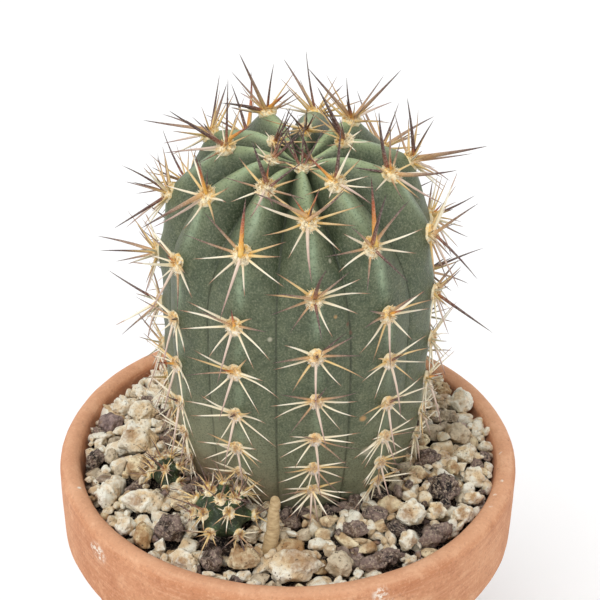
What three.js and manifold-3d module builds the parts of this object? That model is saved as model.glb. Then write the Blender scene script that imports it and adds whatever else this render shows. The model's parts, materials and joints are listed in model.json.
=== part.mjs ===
// Potted round cactus: an eleven-ribbed stem with rows of spines and two offsets, growing out of a
// layer of loose stones in a terracotta pot. Millimetres, +Z up.
// The origin is the centre of the pot's foot, on the surface that the pot stands on.

import * as THREE from "three";
import { ConvexGeometry } from "three/addons/geometries/ConvexGeometry.js";
import { mergeVertices } from "three/addons/utils/BufferGeometryUtils.js";
import Module from "manifold-3d";

// ---- driving dimensions -------------------------------------------------------------------------

const SEAT_GAP = 0.3; // clearance between two pieces that touch

// Pot: a plain machine-made terracotta pot with a rim band and a drain hole.
const POT_HEIGHT = 115;
const RIM_RADIUS = 65;
const LIP_ROUND = 2.9; // radius of the rounded lip, so the lip is twice this wide
const BAND_HEIGHT = 24;
const BAND_STEP = 3; // how far the rim band stands out from the wall below it
const FOOT_RADIUS = 43;
const FOOT_EDGE = 1.5;
const FLOOR_THICKNESS = 7;
const FLOOR_RADIUS = 37.2; // inside the pot, at its floor
const DRAIN_RADIUS = 8;
const POT_SIDES = 48;

// Soil and the loose stone layer on it. The stones rise a little from the wall towards the stem.
const SOIL_TOP = 101;
const GRAVEL_AT_WALL = 112;
const GRAVEL_RISE = 4.5;
const GRAVEL_RISE_FROM = 58; // radius where the rise starts
const GRAVEL_RISE_TO = 38; // radius where it ends
const GRAVEL_SIDES = 32;

// Stem: heights are above the gravel at the wall, along the stem's own axis.
const STEM_X = 2;
const STEM_Y = 0.5;
const RIBS = 11;
const FIRST_RIB_DEG = 7.7; // the rib that faces the front, turned to the right
const COLUMNS_PER_RIB = 4;
const BELLY_RADIUS = 36.1; // over the ribs
const BELLY_HEIGHT = 50;
const BASE_NARROWING = 5.3; // the base is this much narrower than the belly
const NARROWING_POWER = 2.2;
const SHOULDER_HEIGHT = 58;
const STEM_HEIGHT = 95.5;
const DOME_POWER = 2.8; // 2 is an ellipse, more is squarer
const CROWN_SINK = 5;
const CROWN_SINK_RADIUS = 9;
const FURROW_DEPTH = 4.8;
const FURROW_POWER = 1.6;
const FURROW_FULL_AT = 26; // arc length from the crown where the furrows reach full depth
const BURIED_TO = -4; // the stem keeps its ribs down to here, and tapers to its root below
const ROOT_END = -22;
const ROOT_RADIUS = 13;

// Areoles stand along each rib at arc lengths from the crown of START + GROWTH n - CROWDING n^2.
const AREOLE_START = -1.8;
const AREOLE_GROWTH = 22.6;
const AREOLE_CROWDING = 1.05;
const AREOLE_FIRST_ARC = 9;
const AREOLE_LAST_ARC = 110;
// Where each rib's row starts in that spacing, as a share of a step, from the front rib to the right.
const RIB_PHASES = [0.5, 0.95, 0.25, 0.65, 0.05, 0.55, 0.1, 0.47, 0.97, 0.5, 0.03];

// Spines: clock is the direction round the areole from the crown side, tilt is up from the skin.
const PAD_SIZE = [2.4, 2.9, 2]; // half of its width and of its length, and its height
const YOUNG_PAD = 0.72; // size of a pad on the crown against a full one
const YOUNG_ARC = 24;
const RADIAL_CLOCKS = [66, 294];
const RADIAL_TILT = 22;
const RADIAL_LENGTH = 10.5;
const RADIAL_BASE = 0.45;
const CENTRAL_TILT = 66;
const YOUNG_CENTRAL_TILT = 102; // on the crown, where the skin slopes inwards
const CENTRAL_LENGTH = 20;
const CENTRAL_BASE = 0.75;
const OLD_SHARE = 0.72; // length of the lowest spines against the uppermost
const CROSSING_HEIGHT = 2.4; // where spines of neighbouring areoles cross, above the rib
const CROSSING_REACH = 1.35; // how far they go past it
const SECTOR_SHARE = 0.86; // how much of its rib's sector a spine tip may reach across

// Offsets: [name, x, y, height of the centre above the rim, radius, ribs]
const OFFSETS = [
  ["offset_large", -17, -38.6, 4.2, 7.3, 8],
  ["offset_small", -33.4, -19.4, 2.6, 4.5, 6],
];
const OFFSET_FURROW = 0.86; // radius in the furrows against the radius over the ribs
const OFFSET_SPINE = 3.8;

// Dry twig: centre line from its foot in the stones to its rounded top, with one knee.
const TWIG_ROUTE = [
  [-4.6, -45.0, 111.5],
  [-3.9, -43.6, 119.2],
  [-3.3, -40.9, 127.6],
];
const TWIG_RADIUS = 1.45;

// Larger stones: [name, x, y, length, width, height, turn in degrees, lift, colour]
const STONES = [
  ["stone_purple", -52.4, 10.6, 7.2, 6.4, 6, 20, 0.4, 0x9a8b8c],
  ["stone_dark_left", -54.9, -6.6, 4.8, 6.6, 5.5, 0, 0.2, 0x6f666a],
  ["stone_grey_left", -49.9, -6.4, 4.2, 5, 4.6, 0, 0.2, 0x857a7b],
  ["stone_big_cream", -42.2, -2.6, 12, 8.6, 7.4, 12, 0.6, 0xd6c9ac],
  ["stone_ochre_top", -41.4, -14.6, 7.8, 7.6, 6.8, 30, 0.8, 0xd0bd97],
  ["stone_white_lumpy", -48.7, -22.6, 7.2, 9.4, 7, -25, 0.6, 0xded6c4],
  ["stone_cream_block", -38.4, -28, 12, 7.2, 7, -8, 0.6, 0xd3c5a8],
  ["stone_round_lump", -43.2, -35.2, 5.4, 5.4, 5, 0, 0.4, 0xc9c0ad],
  ["stone_pointed", -38.1, -39.6, 4.8, 8.2, 6.4, 14, 0.4, 0xd9c8a2],
  ["stone_dark_lava", -30.9, -38.6, 8.2, 8.2, 7.4, 0, 0.8, 0x5d5356],
  ["stone_stained_pebble", -28.6, -30.4, 6, 4.8, 4.6, 20, 0.6, 0xc3ab86],
  ["stone_pumice_front", -26.6, -48.6, 8.8, 5, 5, -29, 0.4, 0xd2c7ae],
  ["stone_dark_front", -19.3, -49.2, 6.4, 7.2, 6, 0, 0.4, 0x6c6260],
  ["stone_brown_stained", -11.4, -49.4, 8.2, 6.2, 5.6, 5, 0.6, 0xb89468],
  ["stone_striped_pebble", -9.4, -43.2, 4, 4, 3.8, 0, 0.6, 0xc4b7a2],
  ["stone_back_left", -49.6, 18.4, 6.4, 6, 5.4, 10, 0.4, 0xcfc5b2],
  ["stone_back_left_inner", -42.6, 12.4, 9, 7, 6, 5, 0.6, 0xcdc4b3],
  ["stone_ochre_right", 46.6, 27.4, 5.8, 6, 5.6, 0, 1.8, 0xcdb68a],
  ["stone_pale_right", 51.8, 20.2, 7.2, 7, 7.4, 0, 3.2, 0xd8d1c2],
  ["stone_grey_flat", 47, 13, 6.6, 4, 4, -5, 1.2, 0x9f9a93],
  ["stone_grey_round", 48.6, 4.6, 8, 7, 6.6, 0, 1, 0xbab4aa],
  ["stone_cream_right", 50.2, -4.2, 6.2, 4.8, 5, 0, 0.6, 0xd6cbb2],
  ["stone_round_cream", 52, -13.2, 6.2, 6.2, 5.6, 0, 0.4, 0xd4c7a4],
  ["stone_ochre_spot", 46.2, -11.4, 4.2, 4.2, 4.4, 0, 0.4, 0xd3bb8c],
  ["stone_brown_lava", 42.4, -20.6, 8.6, 8.2, 7, 20, 0.4, 0x8a7e72],
  ["stone_dark_inner", 39.4, -9.6, 6.6, 5, 5.2, 10, 0.4, 0x6a6059],
  ["stone_stained_inner", 35.6, -16.8, 5.6, 4.2, 4.6, -15, 0.4, 0xb7a27c],
  ["stone_flat_cream", 50.7, -22.3, 6.4, 3.4, 3.6, 4, 0.6, 0xddd2b8],
  ["stone_cream_outer", 46.9, -29.2, 7.2, 5, 5, 38, 0.4, 0xd4c49b],
  ["stone_cream_inner", 40.1, -29.4, 5.2, 4.8, 4.8, 0, 0.4, 0xd2c6a6],
  ["stone_cream_grey", 32.6, -32.2, 8.8, 7.8, 7.2, 10, 0.4, 0xccc1a9],
  ["stone_dark_right", 39.7, -37.3, 11.2, 5, 5.6, 38, 0.2, 0x5b5350],
  ["stone_peak", 31.4, -41.4, 4.8, 4.8, 5.6, 0, 0.6, 0xd8cfb9],
  ["stone_long_lava", 24.4, -48.2, 13, 4.8, 5.2, 27, 0.4, 0x7c6c5f],
  ["stone_grey_rough", 13.6, -50.4, 7, 7.6, 6.6, 0, 0.4, 0xa49884],
  ["stone_white_pumice", 1.2, -51.8, 15.6, 9.4, 7.6, 3, 0.6, 0xdfd5bf],
  ["stone_brown_flat", 17.8, -40, 7, 5, 4.4, 0, 0.4, 0x9b8367],
  ["stone_rear", -4, 51, 9, 7, 6, 10, 0.6, 0xd2c7ae],
];
const STONE_POINTS = 14; // corners of a stone

// ---- solids ------------------------------------------------------------------------------------

const wasm = await Module();
wasm.setup();

function solidOf(geometry) {
  const bare = new THREE.BufferGeometry().setAttribute("position", geometry.getAttribute("position"));
  bare.setIndex(geometry.index);
  const merged = mergeVertices(bare, 1e-3);
  return new wasm.Manifold(
    new wasm.Mesh({
      numProp: 3,
      vertProperties: merged.getAttribute("position").array,
      triVerts: new Uint32Array(merged.index.array),
    }),
  );
}

function geometryOf(solid) {
  const mesh = solid.getMesh();
  const corners = new Float32Array(mesh.vertProperties);
  return new THREE.BufferGeometry()
    .setAttribute("position", new THREE.BufferAttribute(corners, 3))
    .setIndex(new THREE.BufferAttribute(new Uint32Array(mesh.triVerts), 1));
}

function joined(geometries) {
  return geometries.map(solidOf).reduce((all, solid) => all.add(solid));
}

function lathe(outline, sides) {
  const points = outline.map(([radius, height]) => new THREE.Vector2(radius, height));
  return new THREE.LatheGeometry(points, sides).rotateX(Math.PI / 2);
}

// A closed skin over rings of points, each ring listed counter-clockwise from above, lowest first.
function skinOver(rings, bottom, top) {
  const columns = rings[0].length;
  const corners = [...rings.flat(), bottom, top].flatMap((p) => [p.x, p.y, p.z]);
  const bottomIndex = rings.length * columns;
  const faces = [];
  for (let column = 0; column < columns; column++) {
    const next = (column + 1) % columns;
    faces.push(bottomIndex, next, column);
    for (let ring = 0; ring + 1 < rings.length; ring++) {
      const low = ring * columns;
      const high = low + columns;
      faces.push(low + column, low + next, high + next);
      faces.push(low + column, high + next, high + column);
    }
    const last = (rings.length - 1) * columns;
    faces.push(last + column, last + next, bottomIndex + 1);
  }
  const geometry = new THREE.BufferGeometry();
  geometry.setAttribute("position", new THREE.Float32BufferAttribute(corners, 3));
  return geometry.setIndex(faces);
}

// ---- pot and soil ------------------------------------------------------------------------------

function arc(centreRadius, centreHeight, radius, fromDeg, toDeg, steps) {
  const points = [];
  for (let step = 0; step <= steps; step++) {
    const turn = THREE.MathUtils.degToRad(fromDeg + ((toDeg - fromDeg) * step) / steps);
    points.push([centreRadius + radius * Math.cos(turn), centreHeight + radius * Math.sin(turn)]);
  }
  return points;
}

function innerRadius(height) {
  const share = (height - FLOOR_THICKNESS) / (POT_HEIGHT - LIP_ROUND - FLOOR_THICKNESS);
  return FLOOR_RADIUS + (RIM_RADIUS - 2 * LIP_ROUND - FLOOR_RADIUS) * share;
}

function pot() {
  const bandFoot = POT_HEIGHT - BAND_HEIGHT;
  const outline = [
    [DRAIN_RADIUS, 0],
    [FOOT_RADIUS - FOOT_EDGE, 0],
    [FOOT_RADIUS, FOOT_EDGE],
    [RIM_RADIUS - BAND_STEP - 1, bandFoot - 1],
    [RIM_RADIUS - 1.5, bandFoot],
    [RIM_RADIUS, bandFoot + 1.5],
    ...arc(RIM_RADIUS - LIP_ROUND, POT_HEIGHT - LIP_ROUND, LIP_ROUND, 0, 180, 6),
    [FLOOR_RADIUS + 2, FLOOR_THICKNESS + 3],
    [FLOOR_RADIUS, FLOOR_THICKNESS],
    [DRAIN_RADIUS, FLOOR_THICKNESS],
    [DRAIN_RADIUS, 0],
  ];
  return lathe(outline, POT_SIDES);
}

function soil() {
  const foot = FLOOR_THICKNESS + SEAT_GAP;
  const outline = [
    [0, foot],
    [FLOOR_RADIUS - 2 * SEAT_GAP, foot],
    [FLOOR_RADIUS + 2 - 2 * SEAT_GAP, foot + 3],
    [innerRadius(SOIL_TOP) - 2 * SEAT_GAP, SOIL_TOP],
    [0, SOIL_TOP],
  ];
  return solidOf(lathe(outline, GRAVEL_SIDES)).subtract(solidOf(stem(SEAT_GAP)));
}

function gravelTop(radius) {
  const share = (GRAVEL_RISE_FROM - radius) / (GRAVEL_RISE_FROM - GRAVEL_RISE_TO);
  return GRAVEL_AT_WALL + GRAVEL_RISE * THREE.MathUtils.smoothstep(share, 0, 1);
}

function gravel(standing) {
  const foot = SOIL_TOP + SEAT_GAP;
  const outline = [
    [0, foot],
    [innerRadius(foot) - 2 * SEAT_GAP, foot],
    [innerRadius(GRAVEL_AT_WALL) - 2 * SEAT_GAP, GRAVEL_AT_WALL],
    ...[52, 45, GRAVEL_RISE_TO].map((radius) => [radius, gravelTop(radius)]),
    [0, gravelTop(0)],
  ];
  return standing.reduce((bed, piece) => bed.subtract(piece), solidOf(lathe(outline, GRAVEL_SIDES)));
}

// ---- stem --------------------------------------------------------------------------------------

// The stem's outline over a rib, from the crown down, as [radius, height].
function ribOutline() {
  const points = [];
  for (let step = 0; step <= 40; step++) {
    const turn = (Math.PI / 2) * (1 - step / 40);
    const radius = BELLY_RADIUS * Math.max(Math.cos(turn), 0) ** (2 / DOME_POWER);
    const rise = (STEM_HEIGHT - SHOULDER_HEIGHT) * Math.sin(turn) ** (2 / DOME_POWER);
    const sink = CROWN_SINK * Math.exp(-((radius / CROWN_SINK_RADIUS) ** 2));
    points.push([radius, SHOULDER_HEIGHT + rise - sink]);
  }
  for (let height = SHOULDER_HEIGHT - 2; height >= BURIED_TO; height -= 2) {
    const below = Math.max(0, (BELLY_HEIGHT - height) / BELLY_HEIGHT);
    points.push([BELLY_RADIUS - BASE_NARROWING * below ** NARROWING_POWER, height]);
  }
  return points;
}

// The same outline with its arc length from the crown, and the direction that points out of it.
function measured(outline) {
  let length = 0;
  return outline.map(([radius, height], index) => {
    const [r0, h0] = outline[Math.max(index - 1, 0)];
    const [r1, h1] = outline[Math.min(index + 1, outline.length - 1)];
    length += Math.hypot(radius - r0, height - h0);
    const out = new THREE.Vector2(h0 - h1, r1 - r0).normalize();
    return { radius, height, length, out };
  });
}

const RIB_LINE = measured(ribOutline());

function ribLineAt(length) {
  const beyond = RIB_LINE.findIndex((point) => point.length > length);
  const index = beyond < 0 ? RIB_LINE.length - 1 : Math.max(beyond, 1);
  const from = RIB_LINE[index - 1];
  const to = RIB_LINE[index];
  const share = (length - from.length) / (to.length - from.length);
  return {
    radius: THREE.MathUtils.lerp(from.radius, to.radius, share),
    height: THREE.MathUtils.lerp(from.height, to.height, share),
    out: from.out.clone().lerp(to.out, share).normalize(),
  };
}

function stemPoint(turn, radius, height) {
  const x = STEM_X + radius * Math.sin(turn);
  const y = STEM_Y - radius * Math.cos(turn);
  return new THREE.Vector3(x, y, GRAVEL_AT_WALL + height);
}

function ribTurn(rib) {
  return THREE.MathUtils.degToRad(FIRST_RIB_DEG + (360 / RIBS) * rib);
}

// The ribbed stem with the start of its root, grown outwards by a clearance.
function stem(clearance) {
  const columns = RIBS * COLUMNS_PER_RIB;
  const ring = (at, depth) =>
    Array.from({ length: columns }, (_, column) => {
      const inRib = (column % COLUMNS_PER_RIB) / (COLUMNS_PER_RIB / 2);
      const off = inRib > 1 ? 2 - inRib : inRib;
      const shift = clearance - depth * off ** FURROW_POWER;
      const turn = ribTurn(column / COLUMNS_PER_RIB);
      return stemPoint(turn, at.radius + shift * at.out.x, at.height + shift * at.out.y);
    });
  const rings = [];
  const full = RIB_LINE[RIB_LINE.length - 1].length;
  for (let length = 4; length < full - 3; length += length < 40 ? 5.5 : 11) {
    rings.unshift(ring(ribLineAt(length), FURROW_DEPTH * Math.min(1, length / FURROW_FULL_AT)));
  }
  rings.unshift(ring(ribLineAt(full), FURROW_DEPTH));
  const rootSide = { radius: ROOT_RADIUS, height: ROOT_END, out: new THREE.Vector2(1, -1) };
  rings.unshift(ring(rootSide, 0));
  const bottom = stemPoint(0, 0, ROOT_END - clearance);
  const crown = RIB_LINE[0];
  return skinOver(rings, bottom, stemPoint(0, 0, crown.height + clearance));
}

// ---- spines ------------------------------------------------------------------------------------

function areoleArcs(phase) {
  const arcs = [];
  for (let step = phase; step < 12; step++) {
    const length = AREOLE_START + AREOLE_GROWTH * step - AREOLE_CROWDING * step ** 2;
    const crowded = arcs.length > 0 && length <= arcs[arcs.length - 1];
    if (crowded || length > AREOLE_LAST_ARC) break;
    if (length >= AREOLE_FIRST_ARC) arcs.push(length);
  }
  return arcs;
}

// An areole's place on its rib, with the directions out of the skin, to the crown and across.
function areole(rib, length) {
  const at = ribLineAt(length);
  const turn = ribTurn(rib);
  const away = new THREE.Vector3(Math.sin(turn), -Math.cos(turn), 0);
  const out = away.clone().multiplyScalar(at.out.x).setZ(at.out.y).normalize();
  const across = new THREE.Vector3(Math.cos(turn), Math.sin(turn), 0);
  const up = new THREE.Vector3().crossVectors(out, across).normalize();
  return { place: stemPoint(turn, at.radius, at.height), out, up, across, turn, rib, length };
}

// The felt pad, as a low pyramid that stands a hair's breadth off the rib.
function pad(spot, size) {
  const [half, along, thick] = PAD_SIZE.map((value) => value * size);
  const geometry = new THREE.ConeGeometry(1, 1, 4).translate(0, 0.5, 0).scale(half, thick, along);
  const frame = new THREE.Matrix4().makeBasis(spot.across, spot.out, spot.up.clone().negate());
  const foot = spot.place.clone().addScaledVector(spot.out, SEAT_GAP);
  return geometry.applyMatrix4(frame).translate(foot.x, foot.y, foot.z);
}

function spineDirection(spot, clockDeg, tiltDeg) {
  const clock = THREE.MathUtils.degToRad(clockDeg);
  const tilt = THREE.MathUtils.degToRad(tiltDeg);
  return spot.up
    .clone()
    .multiplyScalar(Math.cos(clock) * Math.cos(tilt))
    .addScaledVector(spot.across, Math.sin(clock) * Math.cos(tilt))
    .addScaledVector(spot.out, Math.sin(tilt));
}

function spine(from, to, baseRadius) {
  const along = to.clone().sub(from);
  const geometry = new THREE.ConeGeometry(baseRadius, along.length(), 3, 1);
  geometry.translate(0, along.length() / 2, 0);
  const up = new THREE.Vector3(0, 1, 0);
  geometry.applyQuaternion(new THREE.Quaternion().setFromUnitVectors(up, along.normalize()));
  return geometry.translate(from.x, from.y, from.z);
}

// Pulls a spine's tip back towards its own rib where it would cross into the next rib's spines.
function inSector(spot, tip) {
  const dx = tip.x - STEM_X;
  const dy = tip.y - STEM_Y;
  const sideways = dx * Math.cos(spot.turn) + dy * Math.sin(spot.turn);
  const outwards = dx * Math.sin(spot.turn) - dy * Math.cos(spot.turn);
  const widest = Math.max(outwards, 0) * Math.tan(Math.PI / RIBS) * SECTOR_SHARE;
  const excess = Math.abs(sideways) - widest;
  return excess > 0 ? tip.addScaledVector(spot.across, -Math.sign(sideways) * excess) : tip;
}

function areoleSpines(spot, next) {
  const age = spot.length / AREOLE_LAST_ARC;
  const young = THREE.MathUtils.smoothstep(spot.length, 0, YOUNG_ARC);
  const size = YOUNG_PAD + (1 - YOUNG_PAD) * young;
  const reach = size * THREE.MathUtils.lerp(1, OLD_SHARE, age);
  const root = spot.place.clone().addScaledVector(spot.out, SEAT_GAP + 0.3 * PAD_SIZE[2] * size);
  const tipOf = (clock, tilt, length) =>
    inSector(spot, root.clone().addScaledVector(spineDirection(spot, clock, tilt), length));
  const pieces = [pad(spot, size)];
  for (const clock of RADIAL_CLOCKS) {
    pieces.push(spine(root, tipOf(clock, RADIAL_TILT, RADIAL_LENGTH * reach), RADIAL_BASE));
  }
  const centralTilt = THREE.MathUtils.lerp(YOUNG_CENTRAL_TILT, CENTRAL_TILT, young);
  pieces.push(spine(root, tipOf(0, centralTilt, CENTRAL_LENGTH * reach), CENTRAL_BASE));
  if (next) {
    const between = areole(spot.rib, (spot.length + next.length) / 2);
    const crossing = between.place.addScaledVector(between.out, CROSSING_HEIGHT);
    for (const end of [spot, next]) {
      const start = end.place.clone().addScaledVector(end.out, SEAT_GAP + 0.4 * PAD_SIZE[2]);
      const tip = start.clone().lerp(crossing, CROSSING_REACH);
      pieces.push(spine(start, tip, RADIAL_BASE));
    }
  }
  return pieces;
}

// One rib's areoles and spines: each areole's lowest spine crosses the uppermost of the one below.
function spineRow(rib, stemSpace) {
  const spots = areoleArcs(RIB_PHASES[rib]).map((length) => areole(rib, length));
  const pieces = spots.flatMap((spot, index) => areoleSpines(spot, spots[index + 1]));
  return joined(pieces).subtract(stemSpace);
}

// ---- offsets and twig --------------------------------------------------------------------------

function offsetPoint([, x, y, centreHeight], latitudeDeg, turn, distance) {
  const latitude = THREE.MathUtils.degToRad(latitudeDeg);
  const flat = distance * Math.cos(latitude);
  const away = new THREE.Vector3(flat * Math.cos(turn), flat * Math.sin(turn), 0);
  return away.setZ(distance * Math.sin(latitude)).add(new THREE.Vector3(x, y, POT_HEIGHT + centreHeight));
}

// A small ribbed ball.
function offsetBody(row, clearance) {
  const radius = row[4] + clearance;
  const columns = row[5] * 2;
  const ring = (latitude) =>
    Array.from({ length: columns }, (_, column) => {
      const distance = radius * (column % 2 ? OFFSET_FURROW : 1);
      return offsetPoint(row, latitude, (2 * Math.PI * column) / columns, distance);
    });
  const foot = offsetPoint(row, -90, 0, radius);
  return skinOver([-58, -24, 10, 44].map(ring), foot, offsetPoint(row, 90, 0, radius));
}

// The ball with its short spines, two areoles to a rib.
function offset(row) {
  const [, , , , radius, ribs] = row;
  const pieces = [offsetBody(row, 0)];
  for (let rib = 0; rib < ribs; rib++) {
    const turn = (2 * Math.PI * rib) / ribs;
    for (const latitude of rib % 2 ? [20, 62] : [0, 42]) {
      const root = offsetPoint(row, latitude, turn, radius * 0.9);
      const tip = offsetPoint(row, latitude, turn, radius + OFFSET_SPINE);
      pieces.push(spine(root, tip, RADIAL_BASE));
    }
  }
  return joined(pieces);
}

function twig(clearance) {
  const radius = TWIG_RADIUS + clearance;
  const section = new THREE.Shape(
    Array.from({ length: 8 }, (_, corner) => {
      const turn = (Math.PI * corner) / 4;
      return new THREE.Vector2(radius * Math.cos(turn), radius * Math.sin(turn));
    }),
  );
  const stops = TWIG_ROUTE.map((point) => new THREE.Vector3(...point));
  stops[0].z -= clearance;
  const route = new THREE.CatmullRomCurve3(stops);
  return solidOf(new THREE.ExtrudeGeometry(section, { extrudePath: route, steps: 6 }));
}

// ---- stones ------------------------------------------------------------------------------------

function randomFrom(seed) {
  let state = seed;
  return () => {
    state = (Math.imul(state, 1664525) + 1013904223) >>> 0;
    return state / 4294967296;
  };
}

// An irregular many-cornered stone: corners spread evenly round a ball, each a little off it.
function stone([, x, y, length, width, height, turnDeg, lift], index, clearance) {
  const random = randomFrom(977 * (index + 3));
  const golden = Math.PI * (3 - Math.sqrt(5));
  const half = [length, width, height].map((size) => size / 2);
  const corners = Array.from({ length: STONE_POINTS }, (_, corner) => {
    const up = 1 - (2 * (corner + 0.5)) / STONE_POINTS;
    const turn = golden * corner + 0.5 * random();
    const flat = Math.sqrt(1 - up * up);
    const reach = 0.84 + 0.16 * random();
    const direction = [flat * Math.cos(turn), flat * Math.sin(turn), up];
    return new THREE.Vector3(...direction.map((part, axis) => part * (half[axis] * reach + clearance)));
  });
  const geometry = new ConvexGeometry(corners);
  geometry.rotateZ(THREE.MathUtils.degToRad(turnDeg));
  return solidOf(geometry.translate(x, y, gravelTop(Math.hypot(x, y)) + lift));
}

// ---- the potted plant --------------------------------------------------------------------------

const plant = new THREE.Group();

function add(name, shape, color, roughness) {
  const geometry = shape.isBufferGeometry ? shape : geometryOf(shape);
  const material = new THREE.MeshStandardMaterial({ color, roughness, metalness: 0 });
  const mesh = new THREE.Mesh(geometry, material);
  mesh.name = name;
  plant.add(mesh);
}

const stemSpace = solidOf(stem(SEAT_GAP));
const offsets = OFFSETS.map(offset);
const rows = RIB_PHASES.map((_, rib) => spineRow(rib, stemSpace));
const bedded = [
  stemSpace,
  ...OFFSETS.map((row) => solidOf(offsetBody(row, 1.2 * SEAT_GAP))),
  twig(SEAT_GAP),
  ...STONES.map((row, index) => stone(row, index, 1.4 * SEAT_GAP)),
];

add("terracotta_pot", pot(), 0xc98a62, 0.85);
add("potting_mix", soil(), 0x3b3029, 0.95);
add("gravel_bed", gravel(bedded), 0xb9ae9b, 0.9);
add("cactus_stem", stem(0), 0x5b7f66, 0.6);
rows.forEach((row, rib) => add(`spine_row_${String(rib + 1).padStart(2, "0")}`, row, 0xd9c9a0, 0.5));
offsets.forEach((shape, index) => add(OFFSETS[index][0], shape, 0x3f6349, 0.6));
add("dry_twig", twig(0), 0xc7a986, 0.8);
STONES.forEach((row, index) => add(row[0], stone(row, index, 0), row[8], 0.9));

export default plant;
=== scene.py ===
"""Looks of a potted ribbed cactus: stem, spines, felt, offsets, loose stones, twig and clay pot.

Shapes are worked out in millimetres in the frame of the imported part, with the origin at the centre of
the pot's foot, +Z up and -Y to the front, and turned into metres when a mesh is made. Places u, v are
pixels of the photograph, to the right and down, and colours run from 0 to 255.
"""

import json
import math
from itertools import combinations, product

import bpy
import numpy as np
from mathutils import Matrix, Vector


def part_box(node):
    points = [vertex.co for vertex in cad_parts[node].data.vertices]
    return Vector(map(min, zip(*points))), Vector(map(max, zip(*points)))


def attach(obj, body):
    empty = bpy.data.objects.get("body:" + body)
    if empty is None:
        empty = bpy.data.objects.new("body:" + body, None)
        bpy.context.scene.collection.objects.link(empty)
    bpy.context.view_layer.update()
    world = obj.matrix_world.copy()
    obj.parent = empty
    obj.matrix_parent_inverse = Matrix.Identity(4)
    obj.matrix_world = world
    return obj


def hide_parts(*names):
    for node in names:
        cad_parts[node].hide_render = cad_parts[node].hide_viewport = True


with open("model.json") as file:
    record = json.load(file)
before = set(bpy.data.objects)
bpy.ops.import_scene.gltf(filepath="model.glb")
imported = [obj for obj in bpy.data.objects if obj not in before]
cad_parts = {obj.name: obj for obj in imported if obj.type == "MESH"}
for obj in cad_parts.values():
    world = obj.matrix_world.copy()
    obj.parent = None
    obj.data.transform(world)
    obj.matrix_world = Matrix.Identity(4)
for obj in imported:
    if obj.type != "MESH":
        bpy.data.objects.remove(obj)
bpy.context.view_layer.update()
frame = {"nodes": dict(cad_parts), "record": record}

MM = 0.001

# ---- camera, fitted to the photograph -------------------------------------------------------------

PICTURE_SIDE = 600
FOCAL_PIXELS = 1400
SENSOR = 36
CAMERA_DISTANCE = 403.7
CAMERA_ELEVATION = 36.348
CAMERA_PAN = 0.4011
CAMERA_TILT = -5.7585
CAMERA_ROLL = -0.6146
RIM_CENTRE = np.array([0.0, 0.0, 115.0])
NEAREST_SEEN = 0.01
FARTHEST_SEEN = 20


def turned(axis, degrees):
    """The matrix of a turn about a main axis."""
    c = math.cos(math.radians(degrees))
    s = math.sin(math.radians(degrees))
    turns = {
        "x": [[1, 0, 0], [0, c, -s], [0, s, c]],
        "y": [[c, 0, s], [0, 1, 0], [-s, 0, c]],
        "z": [[c, -s, 0], [s, c, 0], [0, 0, 1]],
    }
    return np.array(turns[axis])


def camera_place():
    """The camera's place, and its right, up and back directions as rows."""
    elevation = math.radians(CAMERA_ELEVATION)
    back = np.array([0, -math.cos(elevation), math.sin(elevation)])
    right = np.array([1.0, 0, 0])
    level = np.array([right, np.cross(back, right), back])
    rows = turned("z", CAMERA_ROLL) @ turned("x", CAMERA_TILT) @ turned("y", CAMERA_PAN) @ level
    return RIM_CENTRE + back * CAMERA_DISTANCE, rows


EYE, VIEW = camera_place()


def pixel_ray(u, v):
    """The direction from the camera through a pixel."""
    half = PICTURE_SIDE / 2
    ray = VIEW.T @ np.array([(u - half) / FOCAL_PIXELS, (half - v) / FOCAL_PIXELS, -1.0])
    return ray / np.linalg.norm(ray)


def pixels_of(points):
    """The pixels in which points are seen."""
    seen = (points - EYE) @ VIEW.T
    half = PICTURE_SIDE / 2
    u = half - FOCAL_PIXELS * seen[:, 0] / seen[:, 2]
    v = half + FOCAL_PIXELS * seen[:, 1] / seen[:, 2]
    return np.stack([u, v], 1)


def seen_at(u, v, points, pixels, hidden):
    """The point seen in a pixel: the nearest one in the picture that isn't hidden."""
    return points[np.argmin(np.linalg.norm(pixels - (u, v), axis=1) + 1e6 * hidden)]


def make_camera():
    data = bpy.data.cameras.new("camera")
    data.sensor_width = SENSOR
    data.lens = SENSOR * FOCAL_PIXELS / PICTURE_SIDE
    data.clip_start = NEAREST_SEEN
    data.clip_end = FARTHEST_SEEN
    camera = bpy.data.objects.new("camera", data)
    bpy.context.collection.objects.link(camera)
    camera.matrix_world = Matrix.Translation(Vector(EYE * MM)) @ Matrix(VIEW.T.tolist()).to_4x4()
    bpy.context.scene.camera = camera


# ---- numbers, directions and noise ----------------------------------------------------------------


def smooth(value):
    """0 below 0, 1 above 1, and an even rise between."""
    value = np.clip(value, 0, 1)
    return value * value * (3 - 2 * value)


def lattice(x, y, z, seed):
    """A repeatable value from 0 to 1 for each whole-numbered place."""
    n = (x * 374761393 + y * 668265263 + z * 1442695041 + seed * 974634777) & 0xFFFFFFFF
    n = ((n ^ (n >> 13)) * 1274126177) & 0xFFFFFFFF
    return ((n ^ (n >> 16)) & 0xFFFFFF) / 0xFFFFFF


def noise(points, size, seed=0, octaves=1):
    """Smooth noise from -1 to 1 at points, with lumps of about a size."""
    total = np.zeros(len(points))
    for octave in range(octaves):
        at = points / size * 2**octave
        cell = np.floor(at)
        share = smooth(at - cell)
        cell = cell.astype(np.int64)
        value = 0
        for corner in product((0, 1), repeat=3):
            near = lattice(*(cell + corner).T, seed + octave)
            for axis, far in enumerate(corner):
                near = near * (share[:, axis] if far else 1 - share[:, axis])
            value = value + near
        total += 0.5**octave * (2 * value - 1)
    return total


def unit(vector):
    return vector / np.linalg.norm(vector)


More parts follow.
